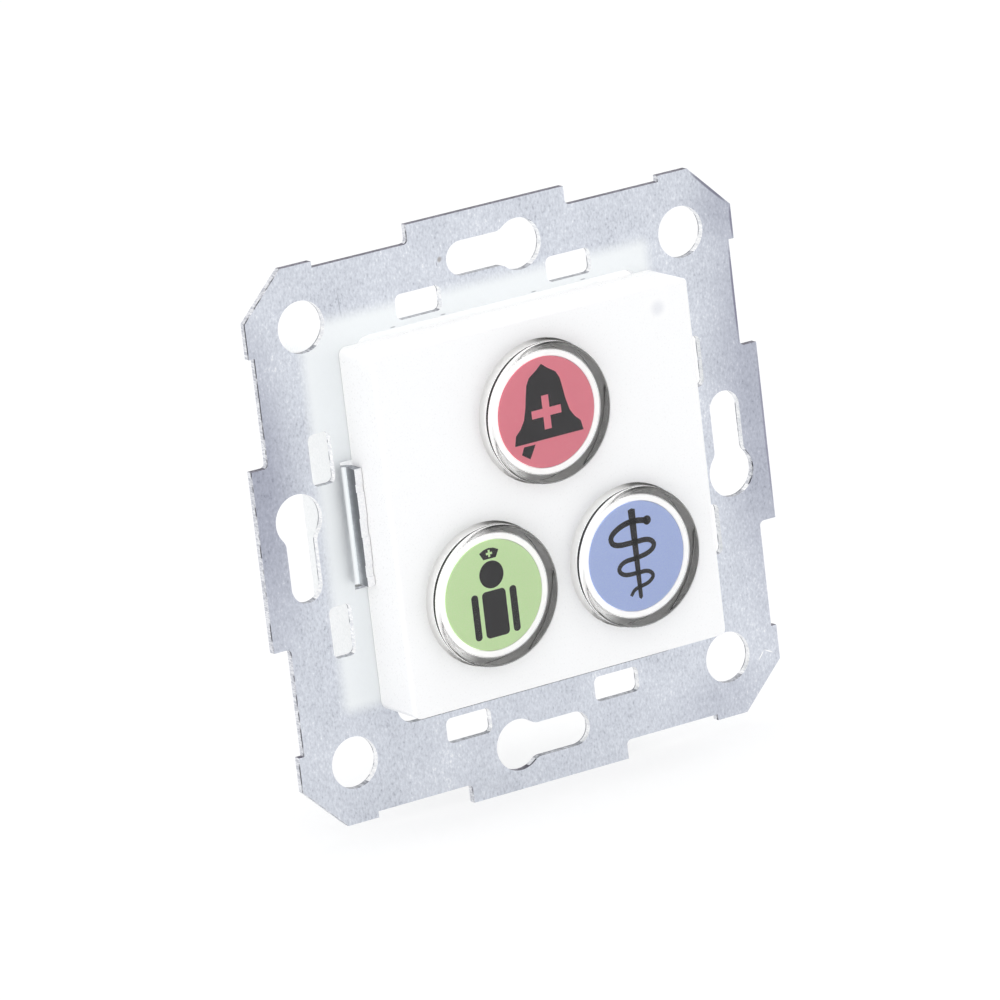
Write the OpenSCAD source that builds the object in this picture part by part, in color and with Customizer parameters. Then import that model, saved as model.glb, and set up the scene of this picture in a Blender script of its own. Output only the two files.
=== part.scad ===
// Nurse call unit with three lit buttons, on a steel support plate for a 60 mm flush box.
// X points to the right, Y points into the wall and Z points up.
// The origin is the centre of the plate's back face, which lies against the wall.

/* [Support plate] */
// Width and height of the plate over its four middle tabs
plate_w = 71; // [70:0.5:75]
// Thickness of the steel sheet
plate_t = 1; // [0.8:0.1:1.2]
// How far a middle tab stands beyond the side of the plate
tab_reach = 2.3; // [1.5:0.1:2.6]
// Length of a middle tab along the side
tab_len = 22; // [18:1:28]
// Radius in the root of a middle tab
tab_root_r = 0.6; // [0.3:0.1:1]
// How far a corner lobe stands beyond the side of the plate
lobe_reach = 0.75; // [0.4:0.05:1.2]
// Length of a corner lobe along the side, from the sharp corner
lobe_len = 9.75; // [8:0.25:11]
// Length that the chamfer takes off each side of a corner
corner_cut = 5.5; // [3:0.5:7]
// Distance from a tab's edge to the middle of its keyhole, so that box screws are 60 mm apart
fix_inset = 5.5; // [5:0.25:6]
// Length of a fixing keyhole from end to end
key_len = 13.2; // [12:0.2:15]
// Width of a keyhole's narrow part
key_slot_w = 4.2; // [3.6:0.1:4.6]
// Diameter of a keyhole's round eye
key_eye_d = 6.3; // [5.6:0.1:6.6]
// Radius that blends a keyhole's narrow part into its eye
key_neck_r = 1.5; // [0.8:0.1:2]
// How far a keyhole lies towards its eye from the middle of its side
key_shift = 0.5; // [0:0.1:1]
// Distance from a tab's edge to the centre line of the corner holes
corner_inset = 8.95; // [8.25:0.05:9.5]
// Diameter of a corner hole
corner_hole_d = 6.3; // [5:0.1:7]
// Length of a small frame pocket
pocket_w = 6.3; // [5:0.1:7]
// Height of a small frame pocket
pocket_h = 3.1; // [2.4:0.1:3.3]
// Corner radius of a small frame pocket
pocket_r = 0.8; // [0.4:0.1:1.1]
// Distance between the two pockets of one side
pocket_pitch = 21; // [19.5:0.5:23]
// Distance from the opening to the middle of a pocket
pocket_inset = 2.3; // [2.3:0.1:2.8]
// How far the cover laps over the plate at each side of the opening
opening_lap = 2.1; // [1.6:0.1:2.6]
// How far the opening reaches past the cover's height, the mean of its two ends
opening_room = 1.6; // [0.8:0.1:1.8]
// Corner radius of the opening
opening_r = 2.2; // [1:0.1:3]
// Length of a bent side lug along the module
lug_w = 14.3; // [10:0.1:16]
// How far a side lug stands forward of the plate
lug_reach = 2.3; // [1.8:0.1:3]
// Inner radius of a side lug's bend
lug_bend_r = 0.5; // [0.3:0.05:0.6]
// Height of a lug's middle above the plate's middle
lug_rise = 1.75; // [0:0.05:2]
// Gap between a lug and the module's side
lug_gap = 0.05; // [0.02:0.01:0.15]
// Width of the relief cut at each end of a lug
lug_relief = 0.6; // [0.4:0.1:0.8]
// Depth of the shear marks in a lug's free edge
lug_nick = 0.15; // [0.05:0.05:0.3]

/* [Front cover] */
// Width and height of the module's cover as a share of the plate's width
cover_share = 0.6225; // [0.618:0.0005:0.628]
// Depth of the cover in front of the plate
cover_d = 7.6; // [7:0.1:9]
// Height of the module's middle above the plate's middle
cover_rise = 0.95; // [0.6:0.05:1]
// Thickness of the cover's side walls
cover_wall = 1.4; // [1:0.1:1.6]
// Thickness of the cover's front wall
face_t = 1.6; // [1.2:0.1:2]
// Radius of the cover's four long corners
cover_corner_r = 1; // [0.8:0.1:1.5]
// Radius of the edge round the cover's face
cover_edge_r = 0.5; // [0.2:0.1:0.7]
// Room between the guide sleeves and the plate's front
sleeve_room = 3.6; // [3.5:0.1:4.2]
// Wall of a guide sleeve
sleeve_wall = 1.2; // [1:0.1:1.3]
// Width of a guide rib that keeps a button upright
rib_w = 1.6; // [1:0.1:2.4]
// Depth of a guide rib along the sleeve's radius
rib_t = 1.2; // [0.8:0.1:1.3]
// Length of a guide rib behind its sleeve
rib_len = 2.4; // [2.1:0.1:2.5]
// Distance of the light window from the cover's right side
window_inset_x = 4.6; // [4:0.1:5]
// Distance of the light window from the cover's upper side
window_inset_z = 2.85; // [2.8:0.05:3.4]
// Diameter of the light window behind its skin
window_d = 2.5; // [2:0.1:3]
// Thickness of the skin left in front of the light window
window_skin = 0.4; // [0.3:0.1:0.8]
// Wall of the tube that holds the light guide
window_wall = 0.75; // [0.6:0.05:1]

/* [Buttons] */
// Diameter of a clear button cap as a share of the cover's width
cap_share = 0.3858; // [0.376:0.0002:0.39]
// How far a cap stands out of the cover's face
cap_reach = 2; // [1.7:0.1:2.6]
// Thickness of a cap's clear front
cap_front_t = 1.5; // [1.2:0.1:1.9]
// Thickness of a cap's clear skirt
cap_skirt_t = 1; // [0.8:0.05:1.1]
// Radius of the edge round a cap's front
cap_edge_r = 0.5; // [0.2:0.05:0.7]
// Gap between a cap and the hole in the cover
cap_gap = 0.2; // [0.1:0.05:0.3]
// How far a button travels when it is pressed
travel = 1; // [0.5:0.1:1.1]
// Height of the call button above the cover's middle, as a share of the cover's width
call_share = 0.2403; // [0.236:0.0001:0.243]
// Drop of the lower two buttons below the cover's middle, as a share of the cover's width
pair_drop_share = 0.2129; // [0.209:0.0001:0.216]
// Distance between the lower two buttons, as a share of the cover's width
pair_share = 0.4546; // [0.452:0.0001:0.459]
// Width of the white ring that shows round a legend disc
ring_w = 0.8; // [0.6:0.05:1]
// Thickness of a legend disc
legend_t = 0.25; // [0.15:0.05:0.4]
// Gap between a cap and the legend disc and plunger rim behind it
film_gap = 0.06; // [0.04:0.01:0.1]
// Wall of the plunger's skirt
plunger_wall = 1.1; // [0.8:0.1:1.3]
// Thickness of the plunger's diffusing front
plunger_web = 1; // [0.8:0.1:1.4]
// How far the plunger's rear flange reaches beyond the cap
flange_reach = 0.95; // [0.7:0.05:1.1]
// Thickness of the plunger's rear flange
flange_t = 1; // [0.8:0.1:1.1]
// Diameter of the post that presses the switch
post_d = 3.8; // [3.2:0.1:4]
// Outer diameter of a return spring
spring_d = 5.8; // [5.6:0.1:6]
// Wire diameter of a return spring
spring_wire = 0.45; // [0.35:0.05:0.5]
// Turns of a return spring
spring_turns = 5; // [4:1:6]

/* [Switches] */
// Side length of a switch body
switch_w = 6.2; // [6:0.1:6.6]
// Height of a switch body above the board
switch_h = 3.4; // [3.3:0.1:3.8]
// Thickness of a switch's steel cover plate
switch_lid_t = 0.3; // [0.2:0.05:0.4]
// Diameter of a switch stem
stem_d = 3.4; // [3:0.1:3.5]
// How far a pressed stem still stands out of its switch
stem_rest = 0.5; // [0.4:0.05:0.8]
// Diameter of a stem's foot inside the switch
foot_d = 4.4; // [4.2:0.1:4.6]
// Thickness of a stem's foot
foot_t = 0.6; // [0.4:0.1:0.7]
// Thickness of the snap dome's sheet
dome_t = 0.1; // [0.08:0.01:0.15]
// Thickness of a switch body's floor
floor_t = 1.5; // [1.3:0.1:1.6]

/* [Circuit board] */
// Distance from the plate's front to the circuit board
board_depth = 4.2; // [4:0.1:4.6]
// Thickness of the circuit board
board_t = 1.6; // [1:0.1:2]
// Gap between the board and the housing's walls
board_gap = 0.2; // [0.1:0.05:0.4]
// Side length of the controller chip
chip_w = 7; // [5:0.5:8]
// Height of a chip's body
chip_h = 1.1; // [0.8:0.1:1.6]
// Diameter of the reservoir capacitor
cap_can_d = 5; // [4:0.1:5.2]
// Height of the reservoir capacitor
cap_can_h = 5.4; // [4:0.1:7]

/* [Rear housing] */
// Gap between the housing and the plate's opening on each side
tub_gap = 0.4; // [0.3:0.05:0.6]
// Gap between the housing's rim and the inside of the cover, above and below
tub_fit = 0.3; // [0.2:0.05:0.5]
// Wall of the rear housing
tub_wall = 1.4; // [1.2:0.1:1.5]
// How far the housing's rim reaches into the cover
tub_lap = 1; // [0.6:0.1:1.1]
// Depth of the rear housing behind the plate
tub_d = 16.4; // [16.2:0.1:18]
// Corner radius of the rear housing
tub_corner_r = 1.6; // [1:0.1:2.5]
// Width of a snap hook
hook_w = 6; // [4:0.5:6.5]
// How far a snap hook grips behind the plate
hook_grip = 1.1; // [0.7:0.1:1.4]
// Width of the slit beside a snap arm
slit_w = 0.8; // [0.6:0.1:1]
// Distance from the housing's upper side to the middle of the upper hooks
hook_inset_up = 5.75; // [5.6:0.05:6.1]
// Distance from the housing's lower side to the middle of the lower hooks
hook_inset_down = 8.45; // [8:0.05:9.4]
// Distance of the upper screws from the board's sides
screw_inset = 2.6; // [2.5:0.05:2.8]
// Height of the upper screws above the cover's middle, as a share of the cover's width
screw_up_share = 0.1957; // [0.185:0.0005:0.2]
// Drop of the lower screw below the cover's middle, as a share of the cover's width
screw_down_share = 0.3654; // [0.364:0.0002:0.368]
// Diameter of a housing screw's shank
screw_d = 2.2; // [2:0.1:2.4]
// Length of a housing screw's shank
screw_len = 10; // [7:0.5:10.5]
// Diameter of a housing screw's head
screw_head_d = 4.2; // [3.8:0.1:4.4]
// Height of a housing screw's head
screw_head_h = 1.5; // [1.2:0.1:2]

/* [Terminal] */
// Number of terminal poles
poles = 4; // [2:1:4]
// Distance between terminal poles
pole_pitch = 3.81; // [3.5:0.01:3.81]
// Room between the terminal header and the housing's back wall
header_room = 1.2; // [1:0.1:1.6]
// Height of the terminal header across the poles
header_t = 8.6; // [8.4:0.1:9.2]
// Width of a header pin
pin_w = 1; // [0.8:0.1:1]
// How far the terminal plug stands behind the header
plug_tail = 8.5; // [7.5:0.1:10]
// Diameter of a wire entry
wire_d = 2.6; // [2:0.1:2.8]

/* [Hidden] */
$fn = 64;
BUTTONS = ["call", "presence", "doctor"];

// One overrun serves every cut
over = 0.5;
// Gap between pieces that rest on each other but move apart
touch = 0.05;
// Running gap round a sliding piece
slide_gap = 0.15;

// Sizes that follow the plate and the cover
fix_pitch = plate_w - 2 * fix_inset;
corner_pitch = plate_w - 2 * corner_inset;
cover_w = cover_share * plate_w;
opening_w = cover_w - 2 * opening_lap;
opening_h = cover_w + 2 * opening_room;
pocket_row = opening_h + 2 * pocket_inset;
cap_d = cap_share * cover_w;
flange_d = cap_d + 2 * flange_reach;
pair_pitch = pair_share * cover_w;

// Places along the depth, from the front to the back
face_y = -plate_t - cover_d;
cover_y = -plate_t;
cap_y = face_y - cap_reach;
rim_y = cap_y + cap_front_t;
legend_y = rim_y + film_gap;
web_y = legend_y + legend_t;
web_back_y = web_y + plunger_web;
sleeve_y = cover_y - sleeve_room;
flange_y = sleeve_y + touch;
flange_back_y = flange_y + flange_t;
tub_y = cover_y - tub_lap;
tub_back_y = tub_d;
board_y = cover_y + board_depth;
board_back_y = board_y + board_t;
lid_back_y = board_y - switch_h;
lid_y = lid_back_y - switch_lid_t;
stem_reach = travel + stem_rest;
stem_y = lid_y - stem_reach;
foot_y = lid_back_y + touch;
foot_back_y = foot_y + foot_t;
floor_y = board_y - floor_t;

// Places of the buttons on the face
function button_x(i) = [0, -pair_pitch / 2, pair_pitch / 2][i];
function button_z(i) = cover_rise + [call_share, -pair_drop_share, -pair_drop_share][i] * cover_w;

// Plate
core_w = plate_w - 2 * tab_reach;
lobe_w = core_w + 2 * lobe_reach;
lug_x = cover_w / 2 + lug_gap;
notch_x = lug_x + plate_t + lug_bend_r;
nick_shares = [[0.08, 0.1], [0.42, 0.16], [0.8, 0.07]];

// Buttons
bore_r = cap_d / 2 + cap_gap;
sleeve_r = bore_r + sleeve_wall;
cap_in_r = cap_d / 2 - cap_skirt_t;
plunger_fit = 0.1;
plunger_r = cap_in_r - plunger_fit;
legend_d = 2 * (plunger_r - ring_w);
legend_fit = 0.05;
rib_fit = 0.2;

// Inside of the cover and of the rear housing
tub_w = opening_w - 2 * tub_gap;
tub_h = cover_w - 2 * cover_wall - 2 * tub_fit;
tub_in_w = tub_w - 2 * tub_wall;
tub_in_h = tub_h - 2 * tub_wall;
board_w = tub_in_w - 2 * board_gap;
board_h = tub_in_h - 2 * board_gap;
board_corner_r = 1;
screw_x = board_w / 2 - screw_inset;
screw_up = cover_rise + screw_up_share * cover_w;
screw_down = cover_rise - screw_down_share * cover_w;
screw_places = [[-screw_x, screw_up], [screw_x, screw_up], [0, screw_down]];
boss_wall = 1.2;
screw_bore_r = screw_d / 2 + touch;
boss_r = screw_bore_r + boss_wall;
boss_room = 0.3;
screw_pass_r = screw_d / 2 + board_gap;
head_gap = 0.3;
tower_r = screw_head_d / 2 + head_gap + plunger_wall - board_gap / 2;
tower_floor = 1.5;
head_y = board_back_y + touch + tower_floor;
screw_tip_y = head_y - screw_len;
drill_depth = 0.8;
arm_root_y = 8;
hook_flat = 0.5;
hook_slope = 2.6;

// Light guide and its lamp
window_place = [cover_w / 2 - window_inset_x, cover_rise + cover_w / 2 - window_inset_z];
guide_r = window_d / 2 - touch;
guide_seat_y = sleeve_y - touch;
guide_foot_y = guide_seat_y + touch;
guide_foot_t = 2.1;
guide_foot_w = 3.4;
window_lamp_size = [2, 0.8, 1.3];
window_lamp_shift = [-1.3, -2.8];
window_lamp_place = window_place + window_lamp_shift;

// Switch
switch_cavity_d = foot_d + 2 * slide_gap;
lid_hole_r = stem_d / 2 + slide_gap;
lid_inset = 0.1;
leg_w = 0.7;
leg_t = 0.25;
leg_reach = 1.3;
leg_pitch = 4.5;
lamp_size = [2.2, 1.5, 3.2];
lamp_place = 4.6;
lamp_cup_d = 1.7;
lamp_cup_t = 0.4;

// Terminal
header_wall = 0.9;
header_floor = 1.5;
header_h = tub_d - tub_wall - header_room - board_back_y;
header_end = 1.18;
header_w = poles * pole_pitch + 2 * header_end;
header_drop_share = 0.0713;
header_z = cover_rise - header_drop_share * cover_w;
header_gap = 0.2;
plug_w = header_w - 2 * header_wall - 2 * header_gap;
plug_t = header_t - 2 * header_wall - 2 * header_gap;
plug_y = board_back_y + header_floor + 2 * header_gap;
tail_y = board_back_y + header_h + header_gap;
tail_back_y = tail_y + plug_tail;
tail_w = header_w - 1;
tail_t = header_t + 1;
window_gap = 0.4;
pin_tail = 0.8;
pin_reach = 7.2;
pin_fit = 0.05;
pin_hole_r = 0.76 * pin_w;
clamp_w = 2.7;
clamp_t = 4.2;
clamp_strip = 0.35;
clamp_gap = 0.1;
clamp_y = plug_y + 2.5;
clamp_back_y = tail_back_y - 2.3;
release_w = 2.4;
release_t = 1;
release_depth = 2;

// Parts on the back of the board
board_top = cover_rise + board_h / 2;
board_foot = cover_rise - board_h / 2;
chip_x = -3.2;
chip_inset = 6.75;
chip_place = [chip_x, board_top - chip_inset];
lead_pitch = 0.8;
lead_w = 0.35;
lead_t = 0.2;
lead_reach = 1;
driver_size = [4.9, 1.4, 3.9];
driver_x = 4.6;
driver_inset = 6.25;
driver_place = [driver_x, board_top - driver_inset];
driver_pitch = 1.27;
can_inset = 3.4;
can_place = [board_w / 2 - can_inset, board_foot + can_inset];
can_base_t = 0.8;
can_base_grow = 0.4;
chip_part = [2, 0.7, 1.25];
part_shares = [[-0.86, -0.2], [-0.86, -0.34], [-0.86, -0.48], [-0.66, -0.62], [-0.5, -0.62],
    [-0.34, -0.62], [0.86, -0.06], [0.86, -0.2], [0.3, 0.9], [0.5, 0.9], [-0.3, 0.93], [0.02, 0.2]];

// A flat outline in X and Z, thickened from y0 to y1
module slab(y0, y1) {
    translate([0, y1, 0])
        rotate([90, 0, 0])
            linear_extrude(y1 - y0)
                children();
}

// A profile in radius and depth, turned about the Y axis
module turned() {
    rotate([-90, 0, 0])
        rotate_extrude()
            children();
}

// A rectangle with round corners, from squares and circles alone
module rounded(w, h, r) {
    square([w - 2 * r, h], center = true);
    square([w, h - 2 * r], center = true);
    for (sx = [-1, 1], sz = [-1, 1])
        translate([sx * (w / 2 - r), sz * (h / 2 - r)])
            circle(r);
}

// Side view of a block, w wide from y0 to y1, with its front corners rounded by r
module soft_profile(w, r, y0, y1) {
    for (s = [-1, 1])
        translate([s * (w / 2 - r), y0 + r])
            circle(r);
    translate([-w / 2, y0 + r])
        square([w, y1 - y0 - r]);
    translate([-w / 2 + r, y0])
        square([w - 2 * r, y1 - y0]);
}

// A square block of side w whose front edge is rounded by edge_r
module soft_block(w, corner_r, edge_r, y0, y1) {
    intersection() {
        slab(y0, y1)
            rounded(w, w, corner_r);
        translate([0, 0, -w / 2])
            linear_extrude(w)
                soft_profile(w, edge_r, y0, y1);
        rotate([0, 90, 0])
            translate([0, 0, -w / 2])
                linear_extrude(w)
                    soft_profile(w, edge_r, y0, y1);
    }
}

// Children at the place of button i
module at_button(i) {
    translate([button_x(i), 0, button_z(i)])
        children();
}

// One fixing keyhole along X, with its eye on the right and a blended neck
module keyhole() {
    eye_r = key_eye_d / 2;
    slot_r = key_slot_w / 2;
    eye_x = key_len / 2 - eye_r;
    slot_x = -key_len / 2 + slot_r;
    neck_z = slot_r + key_neck_r;
    neck_x = -sqrt(pow(eye_r + key_neck_r, 2) - pow(neck_z, 2));
    translate([eye_x, 0])
        circle(eye_r);
    translate([slot_x, 0])
        circle(slot_r);
    translate([slot_x, -slot_r])
        square([eye_x - slot_x, key_slot_w]);
    for (s = [-1, 1])
        translate([eye_x, 0])
            scale([1, s])
                difference() {
                    polygon([[0, 0], [neck_x, 0], [neck_x, neck_z]]);
                    translate([neck_x, neck_z])
                        circle(key_neck_r);
                }
}

// The small fillet in the root of a tab
module root_fillet() {
    difference() {
        translate([-tab_root_r, -tab_root_r])
            square(2 * tab_root_r);
        translate([tab_root_r, tab_root_r])
            circle(tab_root_r);
        translate([tab_root_r, 0])
            square(over);
        translate([0, tab_root_r])
            square(over);
    }
}

// Outer outline of the plate: square core, corner lobes and middle tabs
module plate_outline() {
    difference() {
        union() {
            square(core_w, center = true);
            for (a = [0:90:270])
                rotate(a)
                    translate([lobe_w / 2 - lobe_len, lobe_w / 2 - lobe_len])
                        square(lobe_len);
        }
        for (a = [0:90:270])
            rotate(a)
                polygon([[lobe_w / 2 + over, lobe_w / 2 - corner_cut - over],
                    [lobe_w / 2 + over, lobe_w / 2 + over],
                    [lobe_w / 2 - corner_cut - over, lobe_w / 2 + over]]);
    }
    for (a = [0:90:270])
        rotate(a) {
            translate([-tab_len / 2, core_w / 2 - tab_reach])
                square([tab_len, 2 * tab_reach]);
            for (s = [-1, 1])
                scale([s, 1])
                    translate([tab_len / 2, core_w / 2])
                        root_fillet();
        }
}

// Everything that is punched out of the plate
module plate_punching() {
    rounded(opening_w, opening_h, opening_r);
    for (a = [0:90:270])
        rotate(a) {
            translate([key_shift, fix_pitch / 2])
                keyhole();
            translate([corner_pitch / 2, corner_pitch / 2])
                circle(corner_hole_d / 2);
            for (s = [-1, 1])
                translate([s * pocket_pitch / 2, pocket_row / 2])
                    rounded(pocket_w, pocket_h, pocket_r);
        }
    translate([0, lug_rise])
        square([2 * notch_x, lug_w + 2 * lug_relief], center = true);
}

// The right side lug, bent forward out of the sheet
module side_lug() {
    bend_y = -plate_t - lug_bend_r;
    tip_y = -plate_t - lug_reach;
    difference() {
        translate([0, 0, lug_rise - lug_w / 2])
            linear_extrude(lug_w) {
                difference() {
                    translate([notch_x, bend_y])
                        circle(plate_t + lug_bend_r);
                    translate([notch_x, bend_y])
                        circle(lug_bend_r);
                    translate([notch_x, bend_y - plate_w / 2])
                        square([plate_w, plate_w]);
                    translate([0, bend_y - plate_w])
                        square([plate_w, plate_w]);
                }
                translate([lug_x, tip_y])
                    square([plate_t, bend_y - tip_y]);
            }
        for (nick = nick_shares)
            translate([lug_x - over, tip_y - over, lug_rise - lug_w / 2 + nick[0] * lug_w])
                cube([plate_t + 2 * over, over + lug_nick, nick[1] * lug_w]);
    }
}

module support_plate() {
    color("lightsteelblue") {
        slab(-plate_t, 0)
            difference() {
                plate_outline();
                plate_punching();
            }
        side_lug();
        mirror([1, 0, 0])
            side_lug();
    }
}

module front_cover() {
    inner_w = cover_w - 2 * cover_wall;
    color("white")
        difference() {
            union() {
                translate([0, 0, cover_rise])
                    difference() {
                        soft_block(cover_w, cover_corner_r, cover_edge_r, face_y, cover_y);
                        slab(face_y + face_t, cover_y + over)
                            square(inner_w, center = true);
                    }
                for (i = [0:2])
                    at_button(i) {
                        slab(face_y + face_t / 2, sleeve_y)
                            circle(sleeve_r);
                        for (s = [-1, 1])
                            slab(sleeve_y - face_t / 2, sleeve_y + rib_len)
                                translate([0, s * (sleeve_r - rib_t / 2)])
                                    square([rib_w, rib_t], center = true);
                    }
                for (p = screw_places)
                    translate([p[0], 0, p[1]])
                        slab(face_y + face_t / 2, board_y - touch)
                            circle(boss_r);
                translate([window_place[0], 0, window_place[1]])
                    slab(face_y + face_t / 2, guide_seat_y)
                        circle(window_d / 2 + window_wall);
            }
            for (i = [0:2])
                at_button(i)
                    slab(face_y - over, sleeve_y - face_t / 2)
                        circle(bore_r);
            for (i = [0:2])
                at_button(i)
                    slab(sleeve_y - face_t, sleeve_y + rib_len + over)
                        circle(bore_r);
            for (p = screw_places)
                translate([p[0], 0, p[1]])
                    slab(screw_tip_y - drill_depth, board_y + over)
                        circle(screw_bore_r);
            translate([window_place[0], 0, window_place[1]])
                slab(face_y + window_skin, guide_seat_y + over)
                    circle(window_d / 2);
        }
}

// One snap hook on the right wall, with its nose behind the plate
module snap_nose() {
    tip_x = opening_w / 2 + hook_grip;
    wall_x = tub_w / 2;
    catch_y = 3 * touch;
    translate([0, 0, -hook_w / 2])
        linear_extrude(hook_w)
            polygon([[wall_x - tub_wall / 2, catch_y], [tip_x, catch_y],
                [tip_x, catch_y + hook_flat], [wall_x, catch_y + hook_flat + hook_slope],
                [wall_x - tub_wall / 2, catch_y + hook_flat + hook_slope]]);
}

// The two slits that free a snap arm in the right wall
module snap_slits() {
    for (s = [-1, 1])
        translate([tub_in_w / 2 - over, tub_y - over, s * (hook_w + slit_w) / 2 - slit_w / 2])
            cube([tub_wall + 2 * over, arm_root_y - tub_y + over, slit_w]);
}

module rear_housing() {
    hook_places = [cover_rise + tub_h / 2 - hook_inset_up, cover_rise - tub_h / 2 + hook_inset_down];
    color("whitesmoke")
        difference() {
            union() {
                translate([0, 0, cover_rise])
                    difference() {
                        slab(tub_y, tub_back_y)
                            rounded(tub_w, tub_h, tub_corner_r);
                        slab(tub_y - over, tub_back_y - tub_wall)
                            square([tub_in_w, tub_in_h], center = true);
                    }
                for (p = screw_places)
                    translate([p[0], 0, p[1]])
                        slab(board_back_y + touch, tub_back_y - tub_wall / 2)
                            circle(tower_r);
                for (m = [0, 1], z = hook_places)
                    mirror([m, 0, 0])
                        translate([0, 0, z])
                            snap_nose();
            }
            for (p = screw_places)
                translate([p[0], 0, p[1]]) {
                    slab(head_y, tub_back_y + over)
                        circle(screw_head_d / 2 + head_gap);
                    slab(board_back_y - over, head_y + over)
                        circle(screw_pass_r);
                    slab(tub_y - over, board_back_y)
                        circle(boss_r + boss_room);
                }
            for (m = [0, 1], z = hook_places)
                mirror([m, 0, 0])
                    translate([0, 0, z])
                        snap_slits();
            translate([0, 0, header_z])
                slab(tub_back_y - tub_wall - over, tub_back_y + over)
                    square([tail_w + 2 * window_gap, tail_t + 2 * window_gap], center = true);
        }
}

// X place of terminal pole i
function pole_x(i) = (i - (poles - 1) / 2) * pole_pitch;

module circuit_board() {
    color("darkgreen")
        slab(board_y, board_back_y)
            difference() {
                translate([0, cover_rise])
                    rounded(board_w, board_h, board_corner_r);
                for (p = screw_places)
                    translate(p)
                        circle(screw_pass_r);
                for (i = [0:poles - 1])
                    translate([pole_x(i), header_z])
                        circle(pin_hole_r);
            }
}

module housing_screws() {
    recess_w = screw_head_d / 6;
    recess_len = screw_head_d / 2;
    color("silver")
        for (p = screw_places)
            translate([p[0], 0, p[1]])
                difference() {
                    union() {
                        slab(screw_tip_y, head_y)
                            circle(screw_d / 2);
                        slab(head_y, head_y + screw_head_h)
                            circle(screw_head_d / 2);
                    }
                    slab(head_y + screw_head_h / 3, head_y + screw_head_h + over) {
                        square([recess_len, recess_w], center = true);
                        square([recess_w, recess_len], center = true);
                    }
                }
}

module light_guide() {
    foot_low = window_lamp_place[1] - window_lamp_size[2] / 2;
    foot_high = window_place[1] + guide_r;
    color("aliceblue") {
        translate([window_place[0], 0, window_place[1]])
            slab(face_y + window_skin + touch, guide_foot_y + guide_foot_t / 2)
                circle(guide_r);
        translate([window_place[0] - guide_foot_w / 2, guide_foot_y, foot_low])
            cube([guide_foot_w, guide_foot_t, foot_high - foot_low]);
    }
}

module window_lamp() {
    color("lightyellow")
        translate([window_lamp_place[0], board_y - window_lamp_size[1] / 2, window_lamp_place[1]])
            cube(window_lamp_size, center = true);
}

// Clear cap: a thick front with rounded edge and a thin skirt
module button_cap(i) {
    color("gainsboro", 0.4)
        at_button(i)
            turned()
                difference() {
                    union() {
                        translate([0, cap_y])
                            square([cap_d / 2 - cap_edge_r, cap_edge_r]);
                        translate([0, cap_y + cap_edge_r])
                            square([cap_d / 2, flange_y - cap_y - cap_edge_r - slide_gap]);
                        intersection() {
                            translate([cap_d / 2 - cap_edge_r, cap_y + cap_edge_r])
                                circle(cap_edge_r);
                            translate([0, cap_y])
                                square([cap_d / 2, 2 * cap_edge_r]);
                        }
                    }
                    translate([0, rim_y])
                        square([cap_in_r, flange_y - rim_y + over]);
                }
}

module legend(i) {
    color(["salmon", "palegreen", "cornflowerblue"][i])
        at_button(i)
            slab(legend_y, web_y)
                circle(legend_d / 2);
}

// White plunger: diffusing front, skirt, flange with rib notches, and a post
module plunger(i) {
    color("ghostwhite")
        at_button(i)
            difference() {
                union() {
                    slab(legend_y, flange_back_y)
                        circle(plunger_r);
                    slab(flange_y, flange_back_y)
                        circle(flange_d / 2);
                }
                slab(rim_y - over, web_y)
                    circle(legend_d / 2 + legend_fit);
                slab(web_back_y, flange_back_y + over)
                    difference() {
                        circle(plunger_r - plunger_wall);
                        circle(post_d / 2);
                    }
                for (s = [-1, 1])
                    slab(flange_y - over, flange_back_y + over)
                        translate([0, s * (sleeve_r - rib_t / 2)])
                            square([rib_w + 2 * rib_fit, rib_t + 2 * rib_fit], center = true);
            }
    color("ghostwhite")
        at_button(i)
            slab(web_back_y - plunger_web / 2, stem_y - touch)
                circle(post_d / 2);
}

// Centre line of a return spring: a flat turn at each end and an open helix between
function spring_y(t, y0, y1) = y0 + (y1 - y0) * min(1, max(0, (t - 0.75) / (spring_turns - 1.5)));

module return_spring(i) {
    steps = 14;
    sides = 6;
    mean_r = (spring_d - spring_wire) / 2;
    y0 = web_back_y + spring_wire / 2 + touch;
    y1 = lid_y - spring_wire / 2 - touch;
    count = spring_turns * steps;
    rings = [for (k = [0:count])
        let (t = k / steps, a = 360 * t)
        [for (j = [0:sides - 1])
            let (b = 360 * j / sides, r = mean_r + spring_wire / 2 * cos(b))
            [r * cos(a), spring_y(t, y0, y1) + spring_wire / 2 * sin(b), r * sin(a)]]];
    points = [for (ring = rings) for (p = ring) p];
    walls = [for (k = [0:count - 1], j = [0:sides - 1])
        let (a = k * sides + j, b = k * sides + (j + 1) % sides)
        each [[a, b, a + sides], [b, b + sides, a + sides]]];
    front_end = [for (j = [1:sides - 2]) [0, j + 1, j]];
    back_end = [for (j = [1:sides - 2]) [for (v = [0, j, j + 1]) count * sides + v]];
    color("silver")
        at_button(i)
            polyhedron(points, concat(walls, front_end, back_end));
}

module switch_body(i) {
    color("dimgray")
        at_button(i)
            difference() {
                slab(lid_back_y, board_y)
                    square(switch_w, center = true);
                slab(lid_back_y - over, floor_y)
                    circle(switch_cavity_d / 2);
            }
}

module switch_lid(i) {
    color("silver")
        at_button(i)
            slab(lid_y, lid_back_y)
                difference() {
                    square(switch_w - 2 * lid_inset, center = true);
                    circle(lid_hole_r);
                }
}

module switch_stem(i) {
    color("black")
        at_button(i) {
            slab(stem_y, foot_back_y)
                circle(stem_d / 2);
            slab(foot_y, foot_back_y)
                circle(foot_d / 2);
        }
}

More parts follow.
